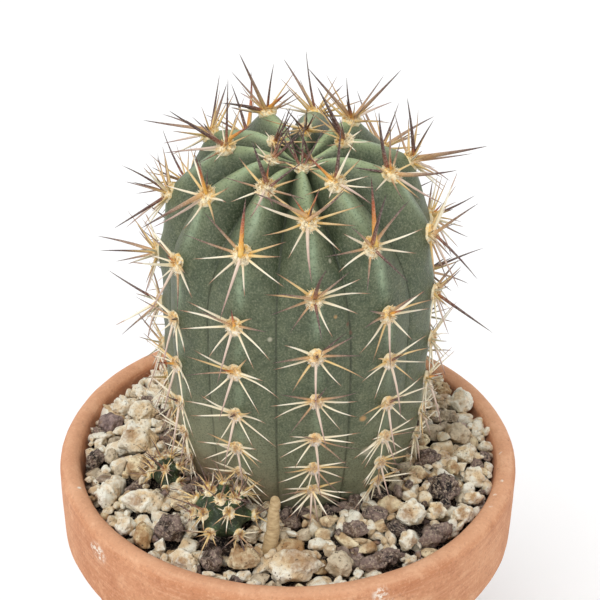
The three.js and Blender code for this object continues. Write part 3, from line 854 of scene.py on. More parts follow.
# Spines that can be told apart: (rib, areole from the crown, tip's pixel u and v, length, style,
# radius of the base). Ribs go to the right from the front one.
MAIN_SPINES = (
    (0, 1, 251, 192, 17.5, "old", 0.5),
    (0, 1, 345, 191, 14, "old", 0.5),
    (0, 1, 289, 192, 10, "amber", 0.36),
    (0, 1, 321, 185, 11, "amber", 0.36),
    (0, 1, 312, 284, 18, "grey", 0.45),
    (0, 3, 347, 332, 10, "dark", 0.34),
    (0, 4, 327, 387, 5, "dark", 0.36),
    (0, 7, 280, 503, 9, "cream", 0.36),
    (0, 7, 348, 500, 9, "cream", 0.36),
    (0, 7, 285, 521, 9, "cream", 0.34),
    (0, 7, 310, 527, 9.5, "grey", 0.36),
    (0, 7, 331, 522, 9, "cream", 0.34),
    (10, 5, 215, 443, 9.5, "cream", 0.34),
    (1, 5, 352, 460, 10, "cream", 0.36),
    (1, 0, 341, 128, 15, "dark", 0.62),
    (1, 0, 304, 152, 11, "amber", 0.45),
    (1, 0, 354, 142, 12, "cream", 0.4),
    (1, 1, 371, 176, 17.5, "amber", 0.72),
    (1, 2, 425, 290, 11.5, "cream", 0.42),
    (2, 0, 379, 111, 19, "dark", 0.62),
    (2, 0, 458, 170, 20, "old", 0.55),
    (2, 0, 350, 167, 11, "dark", 0.4),
    (2, 1, 458, 171, 19, "cream", 0.45),
    (2, 1, 479, 203, 16.5, "old", 0.45),
    (2, 1, 478, 280, 17, "dark", 0.4),
    (2, 2, 493, 333, 20.5, "dark", 0.45),
    (3, 0, 317, 86, 18, "dark", 0.62),
    (3, 1, 407, 97, 20, "dark", 0.6),
    (3, 1, 488, 146, 23.5, "old", 0.66),
    (3, 1, 411, 143, 8, "amber", 0.45),
    (4, 0, 307, 67, 20.5, "old", 0.62),
    (4, 0, 402, 69, 21, "old", 0.62),
    (4, 0, 350, 105, 8, "amber", 0.5),
    (4, 1, 357, 90, 22, "old", 0.55),
    (4, 1, 435, 116, 21, "old", 0.55),
    (5, 1, 283, 58, 20, "old", 0.6),
    (5, 1, 330, 92, 12, "cream", 0.4),
    (6, 0, 221, 103, 16, "dark", 0.6),
    (6, 0, 290, 90, 13, "amber", 0.55),
    (6, 0, 239, 53, 21, "old", 0.62),
    (6, 1, 251, 71, 22, "amber", 0.66),
    (7, 0, 227, 83, 18.5, "old", 0.55),
    (7, 0, 142, 120, 22, "old", 0.5),
    (8, 0, 168, 110, 21, "dark", 0.6),
    (8, 0, 253, 124, 13, "amber", 0.5),
    (8, 1, 143, 167, 13, "cream", 0.45),
    (8, 1, 132, 182, 13, "old", 0.42),
    (8, 1, 113, 229, 17.5, "dark", 0.45),
    (8, 2, 97, 236, 19, "old", 0.5),
    (8, 3, 114, 326, 16, "cream", 0.42),
    (9, 1, 194, 152, 15, "amber", 0.5),
    (9, 1, 140, 229, 20, "old", 0.6),
    (9, 2, 130, 262, 15, "cream", 0.42),
    (10, 0, 252, 141, 14, "dark", 0.62),
    (10, 0, 306, 160, 12, "dark", 0.35),
    (10, 1, 246, 197, 17, "amber", 0.72),
    (10, 1, 219, 322, 19, "grey", 0.45),
    (10, 2, 231, 308, 6, "amber", 0.4),
    (10, 3, 238, 358, 4, "dark", 0.4),
)

MAIN_SPINE_WIDTH = 1.08
CROWN_ARC = 24
UPPER_ARC = 45
GOLDEN_ARC = 72
LOWER_ARC = 94
FULL_PAD_ARC = 17
PAD_HALF = np.array([2.45, 2.75, 1.6])
CORE_UP = 0.4
CORE_WIDTH = 0.34
HEART_UP = 0.3
BARE_HEART = 0.55


class Pad:
    """How the felt of an areole looks: the width and least strength of its heart, and its paleness."""

    def __init__(self, heart_width, heart_least, pale_above, pale_below):
        self.heart_width = heart_width
        self.heart_least = heart_least
        self.pale_above = pale_above
        self.pale_below = pale_below

    def values(self, across, up, age):
        """Golden core, dark heart and paleness at a place on the pad, across and up from -1 to 1."""
        core = np.exp(-((across**2 + (up - CORE_UP) ** 2) / CORE_WIDTH))
        heart = np.exp(-((across**2 + (up - HEART_UP) ** 2) / self.heart_width))
        pale = self.pale_above + (self.pale_below - self.pale_above) * smooth((0.35 - up) / 0.9)
        return core, heart, pale * (0.2 + 0.8 * age)


STEM_PAD = Pad(0.1, 0.55, 0.0, 0.95)
OFFSET_PAD = Pad(0.34, 0.95, 0.4, 0.7)


def felt_pad(shape, spot, size, age, random, tufts, pad):
    """A low felt cushion with a fringe of hair tufts and a darker heart above its middle."""
    axes = np.array([spot.across, spot.up, spot.out])
    directions, faces = BALLS[2]
    local = directions * PAD_HALF * size
    local *= 1 + 0.16 * noise(directions * 3 + random.uniform(0, 50, 3), 1.2, 3)[:, None]
    strength = random.uniform(pad.heart_least, 1.0)
    core, heart, pale = pad.values(directions[:, 0], directions[:, 1], age)
    heart = heart * (directions[:, 2] > 0) * strength
    local[:, 2] -= 0.6 * heart * size
    points = spot.place + local @ axes - spot.out * 0.15
    shape.add(points, [faces], core=core, heart=heart, age=age, pale=pale)
    for _ in range(tufts):
        felt_tuft(shape, spot.place, axes, size, age, random, pad, strength)


def felt_tuft(shape, place, axes, size, age, random, pad, strength):
    """A bent tuft of hair on a pad, left out where the heart is bare."""
    around = random.uniform(0, 2 * np.pi)
    direction = dome(random.uniform(0.02, 1) ** 0.9, around)
    root = place + (direction * PAD_HALF * size * 0.88) @ axes
    lean = direction + random.normal(0, 0.4, 3)
    lean[2] = abs(lean[2]) + 0.1
    core, heart, pale = pad.values(direction[0], direction[1], age)
    dark = heart * strength
    if dark > BARE_HEART:
        return
    reach = unit(lean) @ axes * random.uniform(0.6, 1.35) * size * (1 - 0.6 * dark)
    ring = circle(3, *across_frame(unit(reach))) * random.uniform(0.11, 0.19) * size
    bent = root + 0.55 * reach + random.normal(0, 0.12, 3) * size
    points = np.concatenate([root + ring, bent + ring * 0.7, [root + reach, root]])
    shape.add(points, tube_faces(2, 3), core=0.8 * core, heart=0.8 * dark, age=age, pale=pale)


# An areole's finer spines up to an arc length from the crown: (arc length, clocks in degrees from the
# crown side to the right, length).
RADIALS = (
    (AREOLE_FIRST_ARC, (70, 180, 290), 3.5),
    (CROWN_ARC, (66, 98, 132, 170, 220, 258, 294), 5.0),
    (UPPER_ARC, (56, 82, 110, 148, 212, 250, 278, 304), 11.2),
    (LOWER_ARC, (52, 76, 103, 142, 218, 257, 284, 308), 10.6),
    (math.inf, (55, 80, 106, 132, 160, 200, 228, 254, 280, 305), 8.6),
)
CROWN_LENGTHENING = 0.3

# Shares of worn and of golden ones among them: (arc length, worn, golden).
STYLE_SHARES = (
    (CROWN_ARC, 0.25, 0.7),
    (UPPER_ARC, 0.14, 0.6),
    (GOLDEN_ARC, 0.12, 0.4),
    (math.inf, 0.1, 0.15),
)


def row_at(rows, arc):
    """The rest of the first row that reaches beyond an arc length."""
    return next(rest for until, *rest in rows if arc < until)


def radial_plan(arc, random):
    """The clocks, tilts, lengths and widths of an areole's finer spines."""
    clocks, length = row_at(RADIALS, arc)
    if AREOLE_FIRST_ARC <= arc < CROWN_ARC:
        length += CROWN_LENGTHENING * (arc - AREOLE_FIRST_ARC)
    plan = []
    for clock in clocks:
        clock += random.normal(0, 5)
        sideways = abs(math.sin(math.radians(clock)))
        own = length * (0.7 + 0.42 * sideways) * random.uniform(0.8, 1.14)
        high = clock < 80 or clock > 280
        tilt = random.uniform(8, 22) + (10 if high else 0)
        width = random.uniform(0.3, 0.38) + (0.07 if high else 0) - (0.05 if arc > 70 else 0)
        width *= 0.78 + 0.22 * float(smooth(arc / 32))
        plan.append((clock, tilt, own, width))
    return plan


def radial_style(clock, arc, random):
    """Cream, with golden ones towards the crown and a few worn ones."""
    worn, golden = row_at(STYLE_SHARES, arc)
    draw = random.uniform()
    if draw < worn:
        return "old"
    high = math.cos(math.radians(clock)) > 0.15
    return "gold" if draw < worn + golden * (1.0 if high else 0.35) else "cream"


# Made-up longer spines: (clock, tilt, length, style, radius). Two numbers are limits to draw between,
# and a list is drawn from.
CROWN_SPINE = ((-80, 80), (52, 88), (8, 14), "dark", 0.32)
UPPER_SPINES = (
    ((-25, 25), (50, 70), (14, 19), ["amber", "dark", "old"], 0.6),
    ((40, 70), 34, (11, 15), "old", 0.42),
    ((290, 320), 34, (11, 15), "old", 0.42),
    ((160, 200), 40, (10, 14), "dark", 0.4),
)
BODY_SPINE = ((168, 192), (14, 22), (12.5, 16.5), "grey", 0.42)
SHORT_SPINE = ((-20, 30), (40, 65), (3.5, 7), ["amber", "dark"], 0.38)
BACK_SPINES = (
    ((-60, 60), (45, 70), (13, 18), "dark", 0.42),
    ((120, 240), (45, 70), (11, 16), "old", 0.4),
)
LOWER_SPINE = ((160, 200), (18, 30), (8, 12), "grey", 0.36)


def drawn(random, given):
    """What a table gives, drawn between two limits or from a list."""
    if isinstance(given, list):
        return random.choice(given)
    return random.uniform(*given) if isinstance(given, tuple) else given


def longer_plan(rib, arc, seen_styles, random):
    """The made-up longer spines of an areole, beside the ones that follow the photograph."""
    plan = []

    def add(*rows):
        for row in rows:
            plan.append([drawn(random, given) for given in row])

    behind = math.cos(rib_turn(rib, arc)) < 0.1
    if behind and arc < 60:
        for clock in (-58, -30, 32, 60):
            add((clock + random.normal(0, 6), (24, 48), (9, 14), "gold", 0.3))
    if arc < 14:
        add(CROWN_SPINE, CROWN_SPINE, CROWN_SPINE, CROWN_SPINE)
    elif arc < UPPER_ARC and len(seen_styles) < 2:
        add(*UPPER_SPINES)
    elif arc < LOWER_ARC:
        if "grey" not in seen_styles:
            add(BODY_SPINE)
        if random.uniform() < 0.6:
            add(SHORT_SPINE)
        if random.uniform() < 0.35:
            add((random.choice([42, 318]) + random.normal(0, 8), 38, (8, 12), "old", 0.36))
        if behind and arc < 75:
            add(*BACK_SPINES)
    else:
        add(LOWER_SPINE)
    return plan


SKIN_CLEARANCE = 0.6
CROWN_HEIGHT = 165


def clear_of_skin(spot, tip):
    """A tip moved outwards if it would end under the skin below the crown."""
    axis = np.array([STEM_X, STEM_Y])
    here = np.linalg.norm(tip[:2] - axis)
    wall = np.linalg.norm(spot.place[:2] - axis)
    if tip[2] < CROWN_HEIGHT and here < wall + SKIN_CLEARANCE:
        tip = tip.copy()
        tip[:2] = axis + (tip[:2] - axis) * (wall + SKIN_CLEARANCE) / here
    return tip


def areole(spines, felt, rib, order, arc):
    """The felt pad and the spines of one place on a rib."""
    random = np.random.default_rng(977 * rib + 31 * order + 5)
    spot = rib_spot(rib, arc)
    raised = SWELLING * (0.7 if arc > 30 else 0.9) * min(1, arc / SWELLING_FULL_AT)
    spot.place = spot.place + spot.out * raised
    size = 0.38 + 0.62 * float(smooth(arc / FULL_PAD_ARC))
    age = float(smooth((arc - 20) / 80))
    size *= 1 - 0.3 * age
    felt_pad(felt, spot, size, age, random, int(70 + 110 * size), STEM_PAD)
    root = spot.place + spot.out * 0.5 * size
    main = [row[2:] for row in MAIN_SPINES if row[:2] == (rib, order)]
    for u, v, length, style, width in main:
        start = root + random.normal(0, 0.45, 3) * size
        tip = tip_on_ray(u, v, start, length, spot.out)
        bend = random.uniform(0, 0.03)
        add_spine(spines, start, tip, MAIN_SPINE_WIDTH * width, style, bend, 0, random.uniform(0, 6.28))
    for clock, tilt, length, width in radial_plan(arc, random):
        start = spot.place + spot.toward(clock, 8) * 1.7 * size
        tip = clear_of_skin(spot, start + spot.toward(clock, tilt) * length)
        style = radial_style(clock, arc, random)
        add_spine(spines, start, tip, width * (0.8 + 0.2 * size), style,
                  random.uniform(-0.02, 0.05), random.uniform(0, 0.7), random.uniform(0, 6.28))
    for clock, tilt, length, style, width in longer_plan(rib, arc, [row[3] for row in main], random):
        start = root + spot.toward(clock, 0) * 0.3
        tip = clear_of_skin(spot, start + spot.toward(clock, tilt) * length)
        add_spine(spines, start, tip, width, style, random.uniform(-0.03, 0.05), 0, random.uniform(0, 6.28))


# The areole nearest to the crown's middle is small and new.
NEW_FIRST_ARC = 2.5
NEW_ORDER = 20


def make_spine_rows(spine, fluff):
    for rib in range(RIBS):
        node = f"spine_row_{rib + 1:02d}"
        spines = Shape()
        felt = Shape()
        for order, arc in enumerate(areole_arcs(rib)):
            areole(spines, felt, rib, order, arc)
        for arc in areole_arcs(rib, NEW_FIRST_ARC):
            if arc < AREOLE_FIRST_ARC:
                areole(spines, felt, rib, NEW_ORDER, arc)
        spines.piece(f"needles_{rib + 1:02d}", spine, "spine", node)
        felt.piece(f"felt_{rib + 1:02d}", fluff, "areole_felt", node)


# ---- offsets --------------------------------------------------------------------------------------

# Centre and radius.
LARGE_OFFSET = (np.array([-17, -38.6, 119.6]), 8.5)
SMALL_OFFSET = (np.array([-33.4, -19.4, 118]), 5.0)

# Areoles that are seen: (pixel u and v).
LARGE_AREOLES = (
    (203, 514), (229, 513), (210, 534), (239.5, 535), (210, 491), (235, 498), (224, 480), (192, 496),
    (258, 515), (220, 499),
)
SMALL_AREOLES = ((165, 469), (180, 466), (166, 489))

# Spines that are seen: (base's pixel u and v, tip's pixel u and v, length, style).
LARGE_SPINES = (
    (209, 492, 193, 468, 8, "dark"), (204.5, 510, 163, 495, 12, "dark"), (237.5, 498, 248, 471, 8, "dark"),
    (198, 532, 169, 530, 9, "dark"), (229, 513, 211, 527, 5.5, "gold"), (203, 514, 204, 532, 5, "cream"),
    (239, 535, 263, 557, 8, "old"), (210, 534, 198, 560, 8, "gold"), (239, 535, 220, 551, 7, "old"),
    (192, 496, 177, 508, 6, "gold"), (235, 498, 224, 512, 5, "cream"), (229, 513, 226, 535, 6, "cream"),
)
SMALL_SPINES = (
    (165.6, 470, 135, 444, 11, "dark"), (165.6, 470, 142, 452, 9, "dark"), (165.6, 470, 147, 472, 7, "old"),
    (165.6, 470, 170, 491, 7, "cream"), (165.6, 470, 160, 490, 7, "gold"),
)
LARGE_AREOLE_GAP = 31
SMALL_AREOLE_GAP = 43
LARGE_SEED = 71
SMALL_SEED = 83
AREOLE_TRIES = 46


def offset_look():
    look = Look("offset_skin", Roughness=0.5)
    mottle = look.noise(2, 3, 0.6, 5)
    tone = look.layers(
        look.ramp(mottle, (0.3, (50, 68, 38)), (0.7, (90, 116, 66))),
        # Painted shade: the skin darker in the grooves between the swollen tubercles.
        (look.value("swelling"), (0.1, 0.9), (0.85, 0), (30, 40, 24)),
        (look.noise(0.5, 1, 0.5, 9), (0.56, 0.7), (0, 0.4), (140, 152, 116)),
    )
    return look.finish(tone, look.share(mottle, 0.2, 0.8, 0.4, 0.6), (look.noise(0.6, 3, 0.6, 13), 0.08))


def ball_hit(u, v, centre, radius):
    """The direction from a ball's centre to where a pixel's ray meets it, or to where it passes."""
    ray = pixel_ray(u, v)
    nearest = EYE + ray * ((centre - EYE) @ ray)
    spare = radius**2 - float(np.sum((nearest - centre) ** 2))
    return unit(nearest - ray * math.sqrt(max(spare, 0)) - centre)


def areole_directions(seen, gap):
    """The seen areoles of a ball and others spread over the rest of it, a gap in degrees apart."""
    chosen = list(seen)
    golden = math.pi * (3 - math.sqrt(5))
    for index in range(AREOLE_TRIES):
        direction = dome(0.95 - 1.25 * (index + 0.5) / AREOLE_TRIES, golden * index)
        if all(direction @ other < math.cos(math.radians(gap)) for other in chosen):
            chosen.append(direction)
    return chosen


def offset_flesh(name, centre, radius, spots, seed):
    """The offset's body, which swells under each areole."""
    directions, faces = BALLS[4]
    swell = np.zeros(len(directions))
    for spot in spots:
        swell += bump_at(np.arccos(np.clip(directions @ spot, -1, 1)), math.radians(13))
    swell = np.clip(swell, 0, 1.05)
    reach = radius * (0.7 + 0.29 * swell) * (1 + 0.02 * noise(directions * 5, 1, seed))
    flesh = Shape()
    flesh.add(centre + directions * reach[:, None], [faces], swelling=swell)
    flesh.piece(f"{name}_skin", offset_look(), "offset_skin", name)


def offset_spines(spines, spot, scale, random):
    """The made-up spines of an offset's areole: a ring of short ones, and two that stand out."""
    count = random.integers(6, 9)
    for index in range(count):
        clock = 360 * index / count + random.normal(0, 10)
        style = random.choice(["cream", "gold", "old", "dark"], p=(0.25, 0.3, 0.3, 0.15))
        start = spot.place + spot.toward(clock, 10) * 0.95 * scale
        tip = start + spot.toward(clock, random.uniform(12, 50)) * random.uniform(2.4, 6.4) * scale
        add_spine(spines, start, tip, random.uniform(0.15, 0.21), style, 0.02, random.uniform(0, 1))
    for _ in range(2):
        lean = spot.toward(random.uniform(0, 360), random.uniform(45, 80))
        tip = spot.place + lean * random.uniform(5, 10) * scale
        add_spine(spines, spot.place, tip, 0.23, random.choice(["gold", "dark", "old"]), 0.03)


def make_offset(name, body, seen, long_spines, gap, seed, spine, fluff):
    centre, radius = body
    random = np.random.default_rng(seed)
    spots = areole_directions([ball_hit(u, v, centre, radius) for u, v in seen], gap)
    offset_flesh(name, centre, radius, spots, seed)
    spines = Shape()
    felt = Shape()
    scale = math.sqrt(radius / LARGE_OFFSET[1])
    for out in spots:
        up = unit(np.array([0, 0, 1.0]) - out * out[2] + 1e-6)
        spot = Spot(centre + out * radius * 0.985, out, up, unit(np.cross(up, out)))
        felt_pad(felt, spot, 0.62 * scale, 0.0, random, 90, OFFSET_PAD)
        offset_spines(spines, spot, scale, random)
    for u, v, tip_u, tip_v, length, style in long_spines:
        out = ball_hit(u, v, centre, radius)
        base = centre + out * radius
        add_spine(spines, base, tip_on_ray(tip_u, tip_v, base, length, out), 0.25, style, 0.02)
    spines.piece(f"{name}_needles", spine, "spine", name)
    felt.piece(f"{name}_felt", fluff, "areole_felt", name)


# ---- twig -----------------------------------------------------------------------------------------

TWIG_FOOT = np.array([-4.6, -45.0, 111.5])
TWIG_KNEE = np.array([-3.9, -43.6, 119.2])
TWIG_TOP = np.array([-3.3, -40.9, 127.6])
TWIG_RADIUS = 2.1
TWIG_NARROWING = 0.8
TWIG_RINGS = 64
TWIG_SIDES = 28


def twig_look():
    look = Look("dry_wood", Roughness=0.85)
    rings = look.noise(1.1, 3, 0.6, 3, look.stretched(0.5, 0.5, 1.6))
    tone = look.layers(
        look.ramp(rings, (0.25, (146, 118, 82)), (0.5, (190, 164, 122)), (0.8, (216, 194, 156))),
        (look.noise(3, 2, 0.5, 7), (0.5, 0.75), (0, 0.5), (158, 128, 92)),
    )
    return look.finish(tone, None, (rings, 0.25), (look.noise(0.5, 2, 0.5, 11), 0.1))


def make_twig():
    share = np.linspace(0, 1, TWIG_RINGS)[:, None]
    bend = 2 * TWIG_KNEE - 0.5 * (TWIG_FOOT + TWIG_TOP)
    centres = (1 - share) ** 2 * TWIG_FOOT + 2 * share * (1 - share) * bend + share**2 * TWIG_TOP
    along = unit(TWIG_TOP - TWIG_FOOT)
    ring = circle(TWIG_SIDES, *across_frame(along))
    width = TWIG_RADIUS - TWIG_NARROWING * share
    width += 0.03 * np.sin(share * 60 + 2 * np.sin(share * 17))
    width *= np.sqrt(np.clip(1 - ((share - 0.9) / 0.1).clip(0, 1) ** 2, 0.02, 1))
    points = (centres[:, None] + width[:, None] * ring).reshape(-1, 3)
    points += 0.26 * noise(points, 2.2, 5, 3)[:, None] * np.tile(ring, (TWIG_RINGS, 1))
    shape = Shape()
    ends = [centres[-1] + along * 0.1, centres[0]]
    shape.add(np.concatenate([points, ends]), tube_faces(TWIG_RINGS, TWIG_SIDES))
    shape.piece("twig_bark", twig_look(), "dry_wood", "dry_twig")


# ---- stones ---------------------------------------------------------------------------------------

GRAVEL_RISE = 4.5
GRAVEL_RISE_FROM = 58
GRAVEL_RISE_TO = 38
POT_INNER_AT_GRAVEL = 59.0
FINES_DEPTH = 4.6
NESTLE_PERCENT = 86
STEM_FOOT_RADIUS = 30.2
TWIG_FOOT_RADIUS = 1.6
QUARTERS = ("front_left", "front_right", "back_left", "back_right")

# Where the stones lie higher, towards the back: (x, y, width, rise).
HEAPS = ((47, 23, 12, 2.2), (38, 36, 12, 1.5), (-30, 40, 14, 1.5))

# Rusty patches on the stones that are seen: (pixel u and v, width in pixels).
STONE_STAINS = (
    (296, 556, 15), (309, 562, 12), (238, 552, 13), (130, 435, 8), (131, 467, 5), (135, 500, 7),
    (145, 535, 6), (182, 560, 5), (95, 497, 4), (444, 395, 6), (422, 452, 6), (447, 455, 5), (454, 467, 4),
    (427, 477, 6), (474, 497, 5), (407, 514, 7), (439, 509, 5), (462, 512, 5), (375, 544, 6),
    (414, 541, 4), (357, 529, 7),
)

# Each tone's colours: darker and lighter ones, which the grain spreads and the relief lays as painted shade
# in hollows and painted light on ridges, then stains and pits. Then the noise from which it is stained.
STONE_TONES = {
    "pale": ((242, 224, 190), (255, 251, 234), (220, 180, 122), (140, 114, 86), 0.4),
    "ochre": ((206, 174, 126), (252, 236, 198), (160, 110, 62), (104, 78, 54), 0.33),
    "grey": ((142, 126, 104), (218, 202, 174), (158, 126, 86), (84, 70, 58), 0.44),
    "dark": ((26, 20, 22), (150, 128, 118), (136, 106, 82), (18, 13, 14), 0.48),
}
TONES = tuple(STONE_TONES)


def rust_share(points):
    """How rusty each point of a stone is."""
    seen = pixels_of(points)
    share = np.zeros(len(points))
    for u, v, width in STONE_STAINS:
        share = np.maximum(share, np.exp(-np.sum(((seen - (u, v)) / width) ** 2, axis=1)))
    return share


def stone_look(name):
    low, high, stain_tone, pit_tone, stain_from = STONE_TONES[name]
    dark = name == "dark"
    look = Look(f"{name}_stone", Roughness=0.9)
    relief = look.value("relief")
    tint = look.value("tint")
    grain = look.noise(0.9, 5, 0.7, 3)
    shade = look.plus(look.times(tint, 0.35), look.times(grain, 0.85))
    # Painted shade and light: hollows darker and ridges lighter by the relief.
    shade = look.plus(shade, look.times(relief, 0.45 if dark else 0.3))
    dark_until, light_from = (0.6, 0.98) if dark else (0.46, 0.86)
    tone = look.ramp(shade, (dark_until, low), (light_from, high))
    if name == "grey":
        mauve = look.ramp(shade, (dark_until, (104, 86, 84)), (light_from, (190, 166, 158)))
        tone = look.mix(look.share(tint, 0.05, 0.3), mauve, tone)
    wet = look.plus(look.noise(4.5, 2, 0.5, 5), look.times(relief, -0.22))
    stain = look.share(wet, stain_from - 0.1, stain_from + 0.16, 0, 0.75)
    stain = look.times(stain, look.share(grain, 0.3, 0.65, 0.35, 1))
    # Painted shade: small dark pits, which the bump below sinks.
    pits = look.share(look.cells(0.8, 7), 0.34, 0.1)
    pits = look.times(pits, look.share(look.noise(2.0, 2, 0.5, 9), 0.42, 0.56))
    specks = (look.noise(0.34, 2, 0.6, 13), (0.58, 0.7), (0, 0.5), pit_tone)
    if dark:
        specks = (look.noise(0.6, 3, 0.7, 13), (0.5, 0.61), (0, 0.9), (196, 176, 154))
    tone = look.layers(
        tone,
        (stain, stain_tone),
        (look.times(pits, 0.65), pit_tone),
        specks,
        # Painted shade inside the stone's pores.
        (look.value("hollow"), (0, 1), (0, 0.6), pit_tone),
    )
    if not dark:
        patches = look.share(look.noise(1.8, 3, 0.6, 17), 0.25, 0.75, -0.45, 0.3)
        rust = look.share(look.plus(look.value("rust"), patches), 0.1, 0.85)
        rust = look.times(rust, look.share(grain, 0.25, 0.6, 0.35, 0.8))
        tone = look.mix(rust, tone, (164, 118, 70))
    # Painted shade: the stones darker on their undersides.
    tone = look.mix(look.share(look.value("under"), 0.2, 0.9, 0, 0.25), tone, (120, 96, 72), "MULTIPLY")
    return look.finish(tone, None, (grain, 1.3 if dark else 0.8), (look.times(pits, -1), 0.6))


def ground(x, y):
    """The height of the stones' surface, which rises towards the stem and in the heaps."""
    share = (GRAVEL_RISE_FROM - np.hypot(x, y)) / (GRAVEL_RISE_FROM - GRAVEL_RISE_TO)
    heaps = sum(rise * np.exp(-((x - u) ** 2 + (y - v) ** 2) / width**2) for u, v, width, rise in HEAPS)
    return GRAVEL_AT_WALL + GRAVEL_RISE * smooth(share) + heaps


def facet_reach(directions, normals, distances, sharpness):
    """How far a rounded many-sided stone reaches in each direction."""
    towards = np.maximum(directions @ normals.T, 0) / distances
    return np.sum(towards**sharpness, axis=1) ** (-1 / sharpness)


def stone_dents(directions, seed, wide, small):
    """Hollows and pores over a stone, as shares of its reach, and how deep in them each point is."""
    random = np.random.default_rng(seed)
    dent = np.zeros(len(directions))
    pore = np.zeros(len(directions))
    for index in range(wide + small):
        centre = unit(random.normal(0, 1, 3))
        apart = np.arccos(np.clip(directions @ centre, -1, 1))
        if index < wide:
            dent += random.uniform(0.03, 0.12) * np.exp(-((apart / random.uniform(0.22, 0.5)) ** 2))
        else:
            pore += random.uniform(0.3, 1) * np.exp(-((apart / random.uniform(0.08, 0.15)) ** 2))
    pore = np.clip(pore, 0, 1.2)
    return dent + 0.07 * pore, pore


def relief_of(height):
    """Heights over a stone as a share from 0 in its hollows to 1 on its ridges."""
    return np.clip(0.5 + (height - height.mean()) / (3.2 * height.std() + 1e-6), 0, 1)


def add_stone(shape, points, faces, tint, under, pore, relief):
    # The pores' share is kept for painted shade inside them.
    shape.add(points, [faces], tint=tint, under=under, hollow=0.6 * pore, relief=relief,
              rust=rust_share(points))


def add_large_stone(shape, centre, reach, seed, rough, tint, pores):
    """A stone from its reach in each direction: reach already holds its rounded facets."""
    directions, faces = BALLS[4]
    size = float(np.mean(reach))
    dent, pore = stone_dents(directions, seed, 12, pores)
    local = directions * (reach * (1.06 - dent))[:, None]
    coarse = noise(local + seed * 7.3, 0.75 * size, seed, 3)
    fine = noise(local + seed * 3.1, 0.25 * size, seed + 3, 3)
    relief = relief_of(rough * (coarse + 0.6 * fine) - dent)
    points = centre + local * (1 + rough * coarse + 0.5 * rough * fine)[:, None]
    # The downward-facing share, for painted shade on the underside.
    add_stone(shape, points, faces, tint, np.clip(-directions[:, 2], 0, 1), pore, relief)


def add_small_stone(shape, level, centre, local, axes, seed, tone, tint):
    """A small stone from its points round its own middle."""
    directions, faces = BALLS[level]
    size = float(np.mean(np.linalg.norm(local, axis=1)))
    rough = 0.17 if tone == "dark" else 0.11
    dent, pore = stone_dents(directions, seed, 8, 14 if level == 3 else 0)
    bumpy = 1.05 - dent + rough * noise(local + seed * 1.7, 0.7 * size, seed % 97, 3)
    points = centre + (local * bumpy[:, None]) @ axes
    # How far below the middle each point lies, for painted shade on the underside.
    under = np.clip(-(points[:, 2] - centre[2]) / size, 0, 1)
    add_stone(shape, points, faces, tint, under, pore, relief_of(bumpy))


def random_stone(random, level, angular):
    """The reach of a made-up stone of about unit size."""
    count = random.integers(9, 15)
    normals = random.normal(0, 1, (count, 3))
    normals /= np.linalg.norm(normals, axis=1)[:, None]
    normals = np.concatenate([normals, -normals[:4]])
    distances = random.uniform(0.72, 1.02, len(normals))
    return facet_reach(BALLS[level][0], normals, distances, 10 + 12 * angular)


def node_planes(name):
    """A CAD stone's centre, and its faces as directions and distances from it."""
    mesh = frame["nodes"][name].data
    corners = np.zeros(len(mesh.vertices) * 3)
    mesh.vertices.foreach_get("co", corners)
    corners = corners.reshape(-1, 3) / MM
    centre = (corners.min(0) + corners.max(0)) / 2
    normals = []
    distances = []
    for face in mesh.polygons:
        a, b, c = (corners[index] for index in face.vertices[:3])
        normal = np.cross(b - a, c - a)
        if np.linalg.norm(normal) < 1e-6:
            continue
        normal = unit(normal)
        distance = float((a - centre) @ normal)
        normals.append(-normal if distance < 0 else normal)
        distances.append(abs(distance))
    return centre, np.array(normals), np.array(distances)


class Bed:
    """The top of the stones laid so far, on a grid, so that the next one comes to rest on them."""

    CELL = 0.5

    def __init__(self):
        count = int(2 * POT_INNER_AT_GRAVEL / self.CELL) + 1
        axis = np.linspace(-POT_INNER_AT_GRAVEL, POT_INNER_AT_GRAVEL, count)
        self.x, self.y = np.meshgrid(axis, axis, indexing="ij")
        self.top = ground(self.x, self.y) - FINES_DEPTH

    def window(self, x, y, reach):
        low = [max(int((value - reach + POT_INNER_AT_GRAVEL) / self.CELL), 0) for value in (x, y)]
        high = [int((value + reach + POT_INNER_AT_GRAVEL) / self.CELL) + 2 for value in (x, y)]
        return slice(low[0], high[0]), slice(low[1], high[1])

    def profile(self, x, y, half, turn):
        """The window under a stone, and its height over its middle there."""
        area = self.window(x, y, max(half[0], half[1]))
        dx = self.x[area] - x
        dy = self.y[area] - y
        c = math.cos(turn)
        s = math.sin(turn)
        square = ((dx * c + dy * s) / half[0]) ** 2 + ((dy * c - dx * s) / half[1]) ** 2
        return area, square < 1, half[2] * np.sqrt(np.clip(1 - square, 0, 1))

    def rest(self, x, y, half, turn):
        """The height of a stone's middle when it lies on what is there."""
        area, inside, rise = self.profile(x, y, half, turn)
        if not inside.any():
            return None
        return float(np.percentile((self.top[area] + rise)[inside], NESTLE_PERCENT))

    def lay(self, x, y, z, half, turn):
        area, inside, rise = self.profile(x, y, half, turn)
        self.top[area] = np.where(inside, np.maximum(self.top[area], z + rise), self.top[area])

    def free(self, x, y, reach):
        """If a stone has room between the pot's wall, the stem, the offsets and the twig."""
        if math.hypot(x, y) + 0.95 * reach > POT_INNER_AT_GRAVEL:
            return False
        if math.hypot(x - STEM_X, y - STEM_Y) < STEM_FOOT_RADIUS + 0.75 * reach:
            return False
        for centre, radius in (LARGE_OFFSET, SMALL_OFFSET):
            if math.hypot(x - centre[0], y - centre[1]) < 0.8 * radius + 0.8 * reach:
                return False
        return math.hypot(x - TWIG_FOOT[0], y - TWIG_FOOT[1]) > TWIG_FOOT_RADIUS + 0.8 * reach


LARGE_STONE_FILL = 1.2


